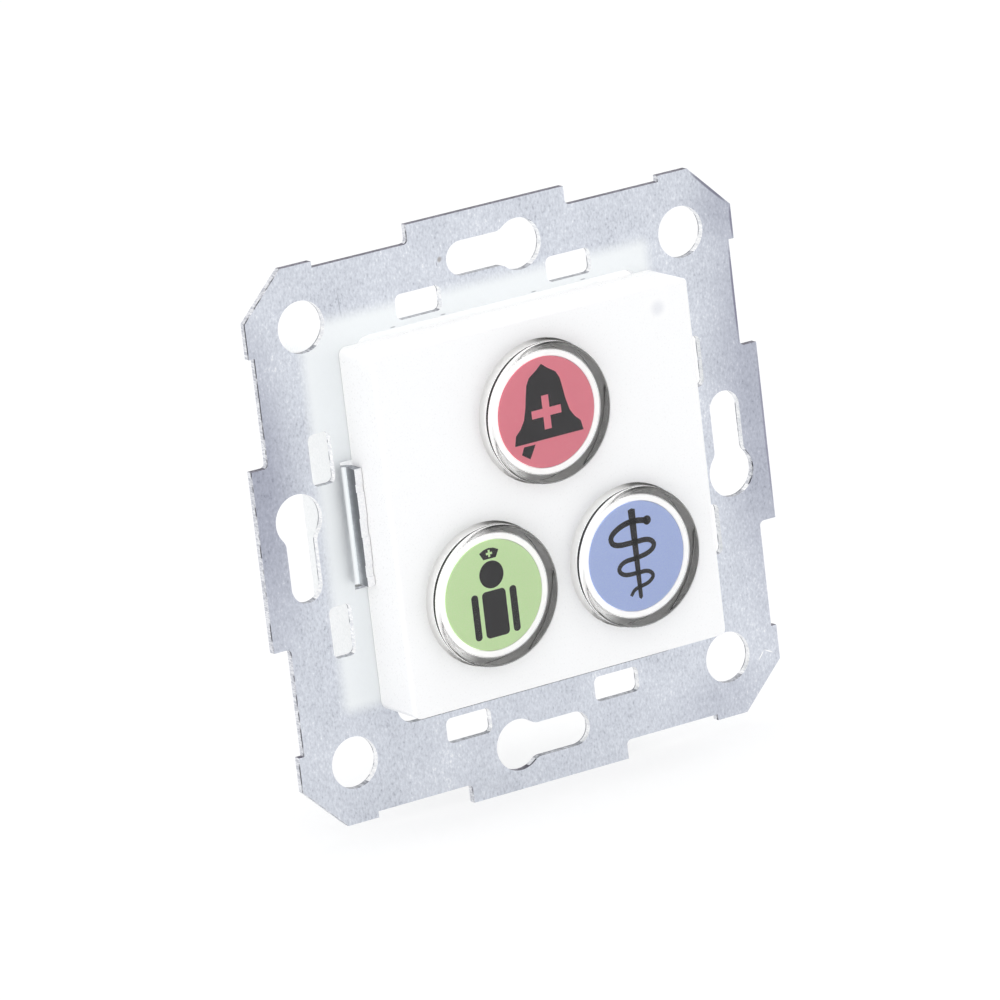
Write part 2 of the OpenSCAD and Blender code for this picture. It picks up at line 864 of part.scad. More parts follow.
// Snap dome: a shallow spherical shell between the stem's foot and the floor
module snap_dome(i) {
    rise = floor_y - foot_back_y - 2 * touch;
    rim = foot_d / 2;
    ball_r = (rim * rim + rise * rise) / (2 * rise);
    color("silver")
        at_button(i)
            turned()
                intersection() {
                    translate([0, foot_back_y + touch + ball_r])
                        difference() {
                            circle(ball_r);
                            circle(ball_r - dome_t);
                        }
                    translate([0, foot_back_y])
                        square([rim, rise + touch]);
                }
}

module switch_legs(i) {
    color("gold")
        at_button(i)
            for (sx = [-1, 1], sz = [-1, 1])
                translate([sx * leg_pitch / 2 - leg_w / 2, board_y - leg_t,
                    sz > 0 ? switch_w / 2 : -switch_w / 2 - leg_reach])
                    cube([leg_w, leg_t, leg_reach]);
}

// The two lamps beside a switch, each with a shallow light cup
module lamps(i) {
    color("lightyellow")
        at_button(i)
            for (s = [-1, 1])
                translate([s * lamp_place, board_y - lamp_size[1] / 2, 0])
                    difference() {
                        cube(lamp_size, center = true);
                        slab(-lamp_size[1] / 2 - over, -lamp_size[1] / 2 + lamp_cup_t)
                            circle(lamp_cup_d / 2);
                    }
}

// A row of thin leads along two sides of a chip of w by d, with n leads a side
module lead_rows(w, d, n, pitch) {
    for (s = [-1, 1], k = [0:n - 1])
        translate([(k - (n - 1) / 2) * pitch - lead_w / 2, board_back_y,
            s > 0 ? d / 2 : -d / 2 - lead_reach])
            cube([lead_w, lead_t, lead_reach]);
}

module controller_chip() {
    color("dimgray")
        translate([chip_place[0], board_back_y + chip_h / 2, chip_place[1]])
            cube([chip_w, chip_h, chip_w], center = true);
}

module controller_leads() {
    count = floor((chip_w - lead_pitch) / lead_pitch);
    color("silver")
        translate([chip_place[0], 0, chip_place[1]]) {
            lead_rows(chip_w, chip_w, count, lead_pitch);
            rotate([0, 90, 0])
                lead_rows(chip_w, chip_w, count, lead_pitch);
        }
}

module line_driver_chip() {
    color("dimgray")
        translate([driver_place[0], board_back_y + driver_size[1] / 2, driver_place[1]])
            cube(driver_size, center = true);
}

module line_driver_leads() {
    color("silver")
        translate([driver_place[0], 0, driver_place[1]])
            lead_rows(driver_size[0], driver_size[2], 4, driver_pitch);
}

module small_components() {
    color("tan")
        for (p = part_shares)
            translate([p[0] * board_w / 2, board_back_y + chip_part[1] / 2,
                cover_rise + p[1] * board_h / 2])
                cube(chip_part, center = true);
}

module capacitor_base() {
    side = cap_can_d + can_base_grow;
    color("dimgray")
        translate([can_place[0], 0, can_place[1]])
            slab(board_back_y, board_back_y + can_base_t)
                square(side, center = true);
}

module capacitor_can() {
    color("silver")
        translate([can_place[0], 0, can_place[1]])
            slab(board_back_y + can_base_t, board_back_y + cap_can_h)
                circle(cap_can_d / 2);
}

module terminal_header() {
    color("seagreen")
        translate([0, 0, header_z])
            difference() {
                slab(board_back_y, board_back_y + header_h)
                    square([header_w, header_t], center = true);
                slab(board_back_y + header_floor, board_back_y + header_h + over)
                    square([header_w - 2 * header_wall, header_t - 2 * header_wall], center = true);
                for (i = [0:poles - 1])
                    slab(board_back_y - over, board_back_y + header_floor + over)
                        translate([pole_x(i), 0])
                            square(pin_w + 2 * pin_fit, center = true);
            }
}

module header_pins() {
    color("gold")
        for (i = [0:poles - 1])
            translate([pole_x(i), 0, header_z])
                slab(board_y - pin_tail, board_back_y + pin_reach)
                    square(pin_w, center = true);
}

module terminal_plug() {
    cavity = [clamp_w + 2 * clamp_gap, clamp_t + 2 * clamp_gap];
    color("seagreen")
        translate([0, 0, header_z])
            difference() {
                union() {
                    slab(plug_y, tail_y + over)
                        square([plug_w, plug_t], center = true);
                    slab(tail_y, tail_back_y)
                        square([tail_w, tail_t], center = true);
                }
                for (i = [0:poles - 1])
                    translate([pole_x(i), 0, 0]) {
                        slab(plug_y - over, clamp_y)
                            square(pin_w + 4 * pin_fit, center = true);
                        slab(clamp_y - clamp_gap, clamp_back_y + clamp_gap)
                            square(cavity, center = true);
                        slab(clamp_back_y, tail_back_y + over)
                            circle(wire_d / 2);
                        slab(tail_back_y - release_depth, tail_back_y + over)
                            translate([0, tail_t / 2 - 1.6 * release_t])
                                square([release_w, release_t], center = true);
                    }
            }
}

// Cage clamps: a strip ring round the pin and the wire, with a slanted leaf in it
module cage_clamps() {
    leaf_w = clamp_w - 2 * clamp_strip - 2 * clamp_gap;
    low = -clamp_t / 2 + 2 * clamp_strip;
    high = clamp_t / 2 - clamp_strip;
    leaf_y = board_back_y + pin_reach + header_wall;
    color("silver")
        for (i = [0:poles - 1])
            translate([pole_x(i), 0, header_z]) {
                slab(clamp_y, clamp_back_y)
                    difference() {
                        square([clamp_w, clamp_t], center = true);
                        square([clamp_w - 2 * clamp_strip, clamp_t - 2 * clamp_strip], center = true);
                    }
                translate([-leaf_w / 2, 0, 0])
                    rotate([90, 0, 90])
                        linear_extrude(leaf_w)
                            polygon([[leaf_y, low], [leaf_y + clamp_strip, low],
                                [clamp_back_y, high], [clamp_back_y, high + clamp_strip / 2],
                                [clamp_back_y - 2 * clamp_strip, high + clamp_strip / 2]]);
            }
}

support_plate();
front_cover();
rear_housing();
circuit_board();
housing_screws();
light_guide();
window_lamp();
for (i = [0:2]) {
    name = BUTTONS[i];
    button_cap(i);
    legend(i);
    plunger(i);
    return_spring(i);
    switch_body(i);
    switch_lid(i);
    switch_stem(i);
    snap_dome(i);
    switch_legs(i);
    lamps(i);
}
controller_chip();
controller_leads();
line_driver_chip();
line_driver_leads();
small_components();
capacitor_base();
capacitor_can();
terminal_header();
header_pins();
terminal_plug();
cage_clamps();
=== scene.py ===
"""Looks of a flush nurse call unit: zinc plated support plate, white module, three lit buttons.

All sizes here are millimetres until a mesh is made. X points right, Y into the wall, Z up.
"""

from __future__ import annotations

import logging
import math
from dataclasses import dataclass
from enum import Enum
from functools import cache, cached_property
from typing import Callable, Iterable, Sequence

import bmesh
import bpy
from mathutils import Matrix, Vector
from mathutils.geometry import tessellate_polygon

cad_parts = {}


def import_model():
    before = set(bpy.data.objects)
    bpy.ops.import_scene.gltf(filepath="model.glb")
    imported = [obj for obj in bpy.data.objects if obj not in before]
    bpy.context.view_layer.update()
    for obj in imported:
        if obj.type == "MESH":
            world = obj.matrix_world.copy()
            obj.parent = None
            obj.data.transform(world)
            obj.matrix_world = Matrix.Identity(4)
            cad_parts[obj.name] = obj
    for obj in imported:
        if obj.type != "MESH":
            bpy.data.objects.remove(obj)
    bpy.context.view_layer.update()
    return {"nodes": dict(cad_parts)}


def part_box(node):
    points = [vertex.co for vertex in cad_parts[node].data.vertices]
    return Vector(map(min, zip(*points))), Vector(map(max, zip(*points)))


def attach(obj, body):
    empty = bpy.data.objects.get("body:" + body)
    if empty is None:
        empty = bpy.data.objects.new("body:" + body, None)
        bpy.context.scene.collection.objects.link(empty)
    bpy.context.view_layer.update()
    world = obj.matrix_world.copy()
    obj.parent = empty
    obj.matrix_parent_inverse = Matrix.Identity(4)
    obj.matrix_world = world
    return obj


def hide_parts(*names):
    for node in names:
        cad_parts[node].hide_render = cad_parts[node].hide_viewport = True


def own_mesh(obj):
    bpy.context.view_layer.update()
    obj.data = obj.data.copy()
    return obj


MM = 0.001
# Angle in degrees above which an edge of a CAD shape counts as sharp, and is broken
SHARP = 38.0
# Angle in degrees below which two faces of a CAD shape are one, and gap that welds its corners
FLAT = 0.4
WELD = 0.0005
LOG =logging.getLogger("nurse_call_unit")

Node = bpy.types.Node
Feed = bpy.types.Node | bpy.types.NodeSocket
Piece = bpy.types.Object
Face = bmesh.types.BMFace
Edge = bmesh.types.BMEdge
Point = tuple[float, float]
Spot = tuple[float, float, float]
Loop = list[Point]
Sign = list[list[Loop]]
Settings = dict[str | int, object]


def linear(hex_colour: str) -> tuple[float, ...]:
    """Turns an sRGB hex colour into linear light.

    Args:
        hex_colour: Six hex digits after a hash sign.

    Returns:
        Red, green, blue and a full alpha.
    """
    parts = [int(hex_colour[k : k + 2], 16) / 255 for k in (1, 3, 5)]
    return *(p / 12.92 if p <= 0.04045 else ((p + 0.055) / 1.055) ** 2.4 for p in parts), 1.0


def per_metre(size_mm: float) -> float:
    """Pattern scale, in features per metre, for a feature of a size in millimetres."""
    return 1000 / size_mm


def span(start: float, end: float, low: float = 0.0, high: float = 1.0) -> Settings:
    """Settings that map the values from start to end on those from low to high."""
    return {"From Min": start, "From Max": end, "To Min": low, "To Max": high}


def supply(node: Node, key: str | int, value: object) -> None:
    """Sets or feeds one input or property of a node.

    Args:
        node: Node that is set.
        key: Input by name or number, property by name, or "stops" of a colour ramp.
        value: A value, a hex colour, or a feed: a socket, or a node for its first output.
    """
    if isinstance(value, Node):
        value = value.outputs[0]
    if isinstance(value, bpy.types.NodeSocket):
        node.id_data.links.new(value, node.inputs[key])
    elif key == "stops":
        elements = node.color_ramp.elements
        while len(elements) < len(value):
            elements.new(0.5)
        for element, (place, colour) in zip(elements, value):
            element.position, element.color = place, linear(colour)
    elif isinstance(key, int) or key in node.inputs:
        node.inputs[key].default_value = linear(value) if isinstance(value, str) else value
    else:
        setattr(node, key, value)


# Finishes. Real grains of 0.02 to 0.05 mm are finer than a pixel of the render, so each grain is
# drawn as coarse as it needs to show.


class Coat:
    """A material or world in the making, with what its nodes share."""

    def __init__(self, owner: bpy.types.Material | bpy.types.World) -> None:
        """Starts with an empty node tree.

        Args:
            owner: Material or world that gets the nodes.
        """
        owner.use_nodes = True
        self.tree = owner.node_tree
        self.tree.nodes.clear()

    def add(self, kind: str, settings: Settings | None = None) -> Node:
        """Adds one node with its settings and links.

        Args:
            kind: Blender's name for the node, without "ShaderNode" in front.
            settings: Values and feeds by input or property, as supply takes them.

        Returns:
            The new node.
        """
        node = self.tree.nodes.new(f"ShaderNode{kind}")
        for key, value in (settings or {}).items():
            supply(node, key, value)
        return node

    @cached_property
    def place(self) -> bpy.types.NodeSocket:
        """Position on the object, in metres."""
        return self.add("TexCoord").outputs["Object"]

    @cached_property
    def axes(self) -> bpy.types.bpy_prop_collection:
        """The position's three numbers, by axis."""
        return self.add("SeparateXYZ", {"Vector": self.place}).outputs

    @cached_property
    def front(self) -> Node:
        """Position on the front's plane: a depth of nought."""
        return self.add("CombineXYZ", {"X": self.axes["X"], "Z": self.axes["Z"]})

    def paint(
        self, under: Node, away: Node, fade: Point, colour: str, strength: float, blend: str = "MIX"
    ) -> Node:
        """Lays a colour that is full within one length of a vector and gone beyond another.

        Args:
            under: Colour below it.
            away: Vector whose length counts.
            fade: Lengths at which it begins to fade and is gone.
            colour: The colour.
            strength: Its share where it is full.
            blend: How it blends with the colour below.

        Returns:
            The painted colour.
        """
        reach = self.add("VectorMath", {"operation": "LENGTH", 0: away}).outputs["Value"]
        smooth = {"interpolation_type": "SMOOTHSTEP", "Value": reach}
        share = self.add("MapRange", {**smooth, **span(*fade, strength, 0.0)})
        pair = {"Color1": under, "Color2": colour}
        return self.add("MixRGB", {"blend_type": blend, "Fac": share, **pair})


@dataclass(frozen=True)
class Mark:
    """One scratch, stain, worn patch or patch of painted shade: a soft ellipse of another colour on
    the front.
    """

    place: Point
    length: float
    width: float
    turn: float
    colour: str
    strength: float
    core: float = 0.4
    blend: str = "MIX"

    def lay(self, coat: Coat, under: Node) -> Node:
        """Lays the mark over a colour.

        Args:
            coat: Material in the making.
            under: Colour below the mark.

        Returns:
            The colour with the mark.
        """
        local = coat.add("Mapping", {
            "vector_type": "TEXTURE",
            "Vector": coat.front,
            "Location": (self.place[0] * MM, 0, self.place[1] * MM),
            "Rotation": (0, math.radians(-self.turn), 0),
            "Scale": (self.length / 2 * MM, 1, self.width / 2 * MM),
        })
        fade = (self.core, 1.0)
        return coat.paint(under, local, fade, self.colour, self.strength, self.blend)


@dataclass(frozen=True)
class Relief:
    """A fine unevenness: one noise and the bumps that it makes."""

    size_mm: float
    strength: float
    height_mm: float
    detail: float = 3.0
    fineness: float = 0.55

    def lay(self, coat: Coat, place: Feed) -> tuple[Node, Node]:
        """Adds the noise and the bumps.

        Args:
            coat: Material in the making.
            place: What feeds the noise: the position, also when stretched.

        Returns:
            The noise and the bumped normal.
        """
        look = {"Detail": self.detail, "Roughness": self.fineness}
        noise = coat.add("TexNoise", {"Vector": place, "Scale": per_metre(self.size_mm), **look})
        depth = {"Strength": self.strength, "Distance": self.height_mm * MM}
        return noise, coat.add("Bump", {"Height": noise, **depth})


@dataclass(frozen=True)
class Finish:
    """What every finish has: a name, a colour and a roughness on one principled shader."""

    name: str
    colour: str
    roughness: float

    def constants(self) -> Settings:
        """Shader values that are the same all over the surface."""
        return {}

    def detail(self, coat: Coat) -> Settings:
        """Adds what changes over the surface.

        Args:
            coat: Material in the making.

        Returns:
            What feeds the shader, by its inputs.
        """
        raise NotImplementedError

    @cache
    def make(self) -> bpy.types.Material:
        """Makes the material at its first use.

        Returns:
            A node material with this finish.
        """
        material = bpy.data.materials.new(self.name)
        coat = Coat(material)
        start = {"Base Color": self.colour, "Roughness": self.roughness}
        shader = coat.add("BsdfPrincipled", {**start, **self.constants()})
        coat.add("OutputMaterial", {"Surface": shader})
        for key, feed in self.detail(coat).items():
            supply(shader, key, feed)
        return material


@dataclass(frozen=True)
class GrainFinish(Finish):
    """A finish with one even grain: mottled colour, varying roughness and a fine relief."""

    grain_mm: float
    tones: tuple[str, str]
    rough: Point
    relief: float
    relief_mm: float
    glow: float = 0.0

    def constants(self) -> Settings:
        """Painted glow: a thin film gives off a faint light of its own colour, though it is no
        lamp.
        """
        return {"Emission Color": self.colour, "Emission Strength": self.glow}

    def detail(self, coat: Coat) -> Settings:
        """Lays the grain.

        Args:
            coat: Material in the making.

        Returns:
            What feeds the shader, by its inputs.
        """
        noise, bump = Relief(self.grain_mm, self.relief, self.relief_mm).lay(coat, coat.place)
        light, dark = self.tones
        tone = coat.add("ValToRGB", {"Fac": noise, "stops": [(0.32, dark), (0.68, light)]})
        rough = coat.add("MapRange", {"Value": noise, **span(0.3, 0.7, *self.rough)})
        return {"Base Color": tone, "Roughness": rough, "Normal": bump}


@dataclass(frozen=True)
class Metal(Finish):
    """What every metal has: it is a full metal with the default IOR."""

    def constants(self) -> Settings:
        """A full metal."""
        return {"Metallic": 1.0}


@dataclass(frozen=True)
class GrainMetal(Metal, GrainFinish):
    """A metal with one even grain."""


@dataclass(frozen=True)
class ZincPlatedSheet(Metal):
    """Cold rolled steel sheet with a thin bluish zinc plating.

    It gives the eye a cool grey with a pale and dark speckle, soft clouds a few millimetres wide,
    a painted pale gleam beside the white module, painted shade on the outer strips and rim, and a
    few marks of handling. Real flecks of zinc are finer than a pixel, so the speckle is drawn as
    coarse as it needs to show.
    """

    marks: tuple[Mark, ...] = ()
    tones: tuple[str, ...] = ("#A5A8B3", "#C9CDD6", "#E0E4EC", "#FAFBFD")
    speckle: Relief = Relief(0.27, 0.22, 0.02, 4.0, 0.65)
    drawn_out: float = 0.6
    cloud_mm: float = 9.0
    cloud_share: float = 0.35
    rough: Point = (0.34, 0.5)
    gleam: str = "#F4F7F8"
    gleam_middle: Point = (-2.7, 3.15)
    gleam_half: Point = (23.2, 22.45)
    gleam_soft: float = 2.2
    gleam_share: float = 0.92

    def lay_gleam(self, coat: Coat, under: Node) -> Node:
        """Lays the gleam that the module's white walls throw on the sheet to the left and above.

        Args:
            coat: Material in the making.
            under: Colour below the gleam.

        Returns:
            The colour with the gleam.
        """
        away = coat.front
        for operation, (x, z) in (
            ("SUBTRACT", self.gleam_middle),
            ("ABSOLUTE", (0, 0)),
            ("SUBTRACT", self.gleam_half),
            ("MAXIMUM", (0, 0)),
        ):
            step = {"operation": operation, 0: away, 1: (x * MM, 0, z * MM)}
            away = coat.add("VectorMath", step)
        fade = (0.0, self.gleam_soft * MM)
        return coat.paint(under, away, fade, self.gleam, self.gleam_share)

    def detail(self, coat: Coat) -> Settings:
        """Lays clouds and speckle, then the gleam and every mark.

        Args:
            coat: Material in the making.

        Returns:
            What feeds the shader, by its inputs.
        """
        # Rolling draws the speckle out along Z
        drawn = coat.add("Mapping", {"Vector": coat.place, "Scale": (1, 1, self.drawn_out)})
        speckle, bump = self.speckle.lay(coat, drawn)
        look = {"Scale": per_metre(self.cloud_mm), "Detail": 3.0, "Roughness": 0.5}
        cloud = coat.add("TexNoise", {"Vector": coat.place, **look})
        blend = {"operation": "MULTIPLY_ADD", 0: cloud, 1: self.cloud_share, 2: speckle}
        stops = list(zip((0.42, 0.54, 0.81, 0.93), self.tones))
        laid = coat.add("ValToRGB", {"Fac": coat.add("Math", blend), "stops": stops})
        laid = self.lay_gleam(coat, laid)
        for mark in self.marks:
            laid = mark.lay(coat, laid)
        rough = coat.add("MapRange", {"Value": speckle, **span(0.3, 0.7, *self.rough)})
        return {"Base Color": laid, "Roughness": rough, "Normal": bump}


@dataclass(frozen=True)
class ShearedSteel(Metal):
    """Cut edge of the sheet: streaks through its thickness and one thin broken dark line."""

    light: str
    dark: str
    burr: str
    burr_from: float = -0.25
    burr_full: float = -0.125
    streaks: Relief = Relief(0.25, 0.5, 0.04, 3.0, 0.7)
    stretch: float = 0.25
    break_mm: float = 1.25

    def detail(self, coat: Coat) -> Settings:
        """Lays the streaks and the broken line.

        Args:
            coat: Material in the making.

        Returns:
            What feeds the shader, by its inputs.
        """
        drawn = coat.add("Mapping", {"Vector": coat.place, "Scale": (1, self.stretch, 1)})
        streaks, bump = self.streaks.lay(coat, drawn)
        stops = [(0.38, self.dark), (0.62, self.light)]
        tone = coat.add("ValToRGB", {"Fac": streaks, "stops": stops})
        depths = span(self.burr_from * MM, self.burr_full * MM)
        line = coat.add("MapRange", {"Value": coat.axes["Y"], **depths})
        look = {"Scale": per_metre(self.break_mm), "Detail": 2.0}
        broken = coat.add("TexNoise", {"Vector": coat.place, **look})
        strong = coat.add("MapRange", {"Value": broken, **span(0.4, 0.55)})
        share = coat.add("Math", {"operation": "MULTIPLY", 0: line, 1: strong})
        cut = coat.add("MixRGB", {"Fac": share, "Color1": tone, "Color2": self.burr})
        return {"Base Color": cut, "Normal": bump}


@dataclass(frozen=True)
class PaintedShadeFlank(Metal):
    """Outer side of a bent lug, with painted shade.

    It gives the eye bright metal at the bend that turns dark towards the lug's tip and the top, as
    painted shade, broken up by a smear.
    """

    tones: tuple[str, ...] = ("#C8CACD", "#8F9195", "#707276")
    bend_y: float = -1.3
    tip_y: float = -2.6
    tip_dark: float = 0.7
    heights: Point = (-4.0, 3.0)
    height_dark: Point = (-0.1, 0.15)
    smear: Relief = Relief(0.6, 0.3, 0.03, 3.0, 0.6)
    smear_share: float = 0.4

    def detail(self, coat: Coat) -> Settings:
        """Paints shade: darkens the metal towards the tip and upwards, and breaks that up with a
        smear.

        Args:
            coat: Material in the making.

        Returns:
            What feeds the shader, by its inputs.
        """
        tip = span(self.bend_y * MM, self.tip_y * MM, 0.0, self.tip_dark)
        ahead = coat.add("MapRange", {"Value": coat.axes["Y"], **tip})
        top = span(*(z * MM for z in self.heights), *self.height_dark)
        upward = coat.add("MapRange", {"Value": coat.axes["Z"], **top})
        base = coat.add("Math", {"operation": "ADD", 0: ahead, 1: upward})
        smear, bump = self.smear.lay(coat, coat.place)
        total = {"operation": "MULTIPLY_ADD", 0: smear, 1: self.smear_share, 2: base}
        stops = list(zip((0.3, 0.65, 1.0), self.tones))
        tone = coat.add("ValToRGB", {"Fac": coat.add("Math", total), "stops": stops})
        return {"Base Color": tone, "Normal": bump}


@dataclass(frozen=True)
class MouldedCover(GrainFinish):
    """White ABS, moulded against a lightly stoned steel face.

    It gives the eye a clean soft gloss, a barely visible grain, and one faint grey spot where the
    wall is thin in front of the light guide.
    """

    window: Mark = Mark((17.5, 20.2), 2.64, 2.64, 0, "#E6E6E8", 0.8, 0.2)

    def constants(self) -> Settings:
        """ABS has an IOR of about 1.54."""
        return {"IOR": 1.54}

    def detail(self, coat: Coat) -> Settings:
        """Lays the grain and the faint window.

        Args:
            coat: Material in the making.

        Returns:
            What feeds the shader, by its inputs.
        """
        feeds = super().detail(coat)
        return {**feeds, "Base Color": self.window.lay(coat, feeds["Base Color"])}


@dataclass(frozen=True)
class ClearMoulding(Finish):
    """Clear acrylic, moulded and left unpolished by hand.

    It gives the eye sharp refraction with a very slight haze where fingers and the mould touched.
    """

    haze_mm: float = 2.5
    haze: float = 0.03
    mirror: str = "#FFFFFF"

    def constants(self) -> Settings:
        """Acrylic has an IOR of 1.49. Facing an all white room, its mirror image is held back."""
        return {"IOR": 1.49, "Transmission Weight": 1.0, "Specular Tint": self.mirror}

    def detail(self, coat: Coat) -> Settings:
        """Lays the haze, as a small change of roughness.

        Args:
            coat: Material in the making.

        Returns:
            What feeds the shader, by its inputs.
        """
        look = {"Scale": per_metre(self.haze_mm), "Detail": 2.0}
        noise = coat.add("TexNoise", {"Vector": coat.place, **look})
        rough = coat.add("MapRange", {"Value": noise, **span(0.35, 0.7, 0, self.haze)})
        return {"Roughness": rough}


@dataclass(frozen=True)
class DiffuserMoulding(GrainFinish):
    """White translucent plastic with a painted glow on the front of its rim and on one flank.

    It gives the eye an evenly white rim under the clear cap and a pale flank on one side, both
    painted light, and it looks soft at its edges.
    """

    # Painted light: emission on the front of the rim and on the flank that faces the painted lit
    # side
    rim_painted_glow: float = 0.4
    flank_painted_glow: float = 0.46
    painted_lit_side: Spot = (-0.97, 0.0, 0.26)
    scatter_mm: float = 0.4

    def constants(self) -> Settings:
        """A little light goes through, a few tenths of a millimetre deep.

        Returns:
            The shader's values.
        """
        scatter = {"Subsurface Weight": 0.2, "Subsurface Radius": (1, 1, 1)}
        scatter["Subsurface Scale"] = self.scatter_mm * MM
        return {"IOR": 1.49, **scatter, "Emission Color": "#FFFFFF"}

    def detail(self, coat: Coat) -> Settings:
        """Lays the grain, and a painted glow on the front of the rim and on one flank.

        Args:
            coat: Material in the making.

        Returns:
            What feeds the shader, by its inputs.
        """
        # Place within the moulding's own box, from 0 to 1, so that it suits all three buttons
        share = coat.add("TexCoord").outputs["Generated"]
        depth = coat.add("SeparateXYZ", {"Vector": share}).outputs["Y"]
        rim = coat.add("MapRange", {"Value": depth, **span(0.0, 0.01, self.rim_painted_glow, 0.0)})
        middle = {"operation": "SUBTRACT", 0: share, 1: (0.5, 0.5, 0.5)}
        side = {"operation": "DOT_PRODUCT", 0: coat.add("VectorMath", middle), 1: self.painted_lit_side}
        sideways = coat.add("VectorMath", side).outputs["Value"]
        lit = span(-0.03, 0.12, 0.0, self.flank_painted_glow)
        flank = coat.add("MapRange", {"Value": sideways, **lit})
        shine = coat.add("Math", {"operation": "MAXIMUM", 0: rim, 1: flank})
        return {**super().detail(coat), "Emission Strength": shine}


@dataclass(frozen=True)
class BoardMask(Finish):
    """Glass fibre board under green solder mask.

    The copper tracks show through the mask as slightly paler, slightly raised straight lines.
    """

    track_mm: float = 0.9
    track_run: float = 4.6
    gap: float = 0.13
    raised_mm: float = 0.03

    def detail(self, coat: Coat) -> Settings:
        """Lays a net of tracks in the board's plane.

        Args:
            coat: Material in the making.

        Returns:
            What feeds the shader, by its inputs.
        """
        net = coat.add("TexBrick", {
            "offset": 0.37,
            "Vector": coat.add("CombineXYZ", {"X": coat.axes["X"], "Y": coat.axes["Z"]}),
            "Color1": "#1E6A3C",
            "Color2": "#1B6138",
            "Mortar": "#3C8A55",
            "Scale": per_metre(1.0),
            "Mortar Size": self.gap,
            "Mortar Smooth": 0.3,
            "Brick Width": self.track_run,
            "Row Height": self.track_mm,
        })
        raised = {"Height": net.outputs["Fac"], "Strength": 0.6, "Distance": self.raised_mm * MM}
        return {"Base Color": net, "Normal": coat.add("Bump", raised)}


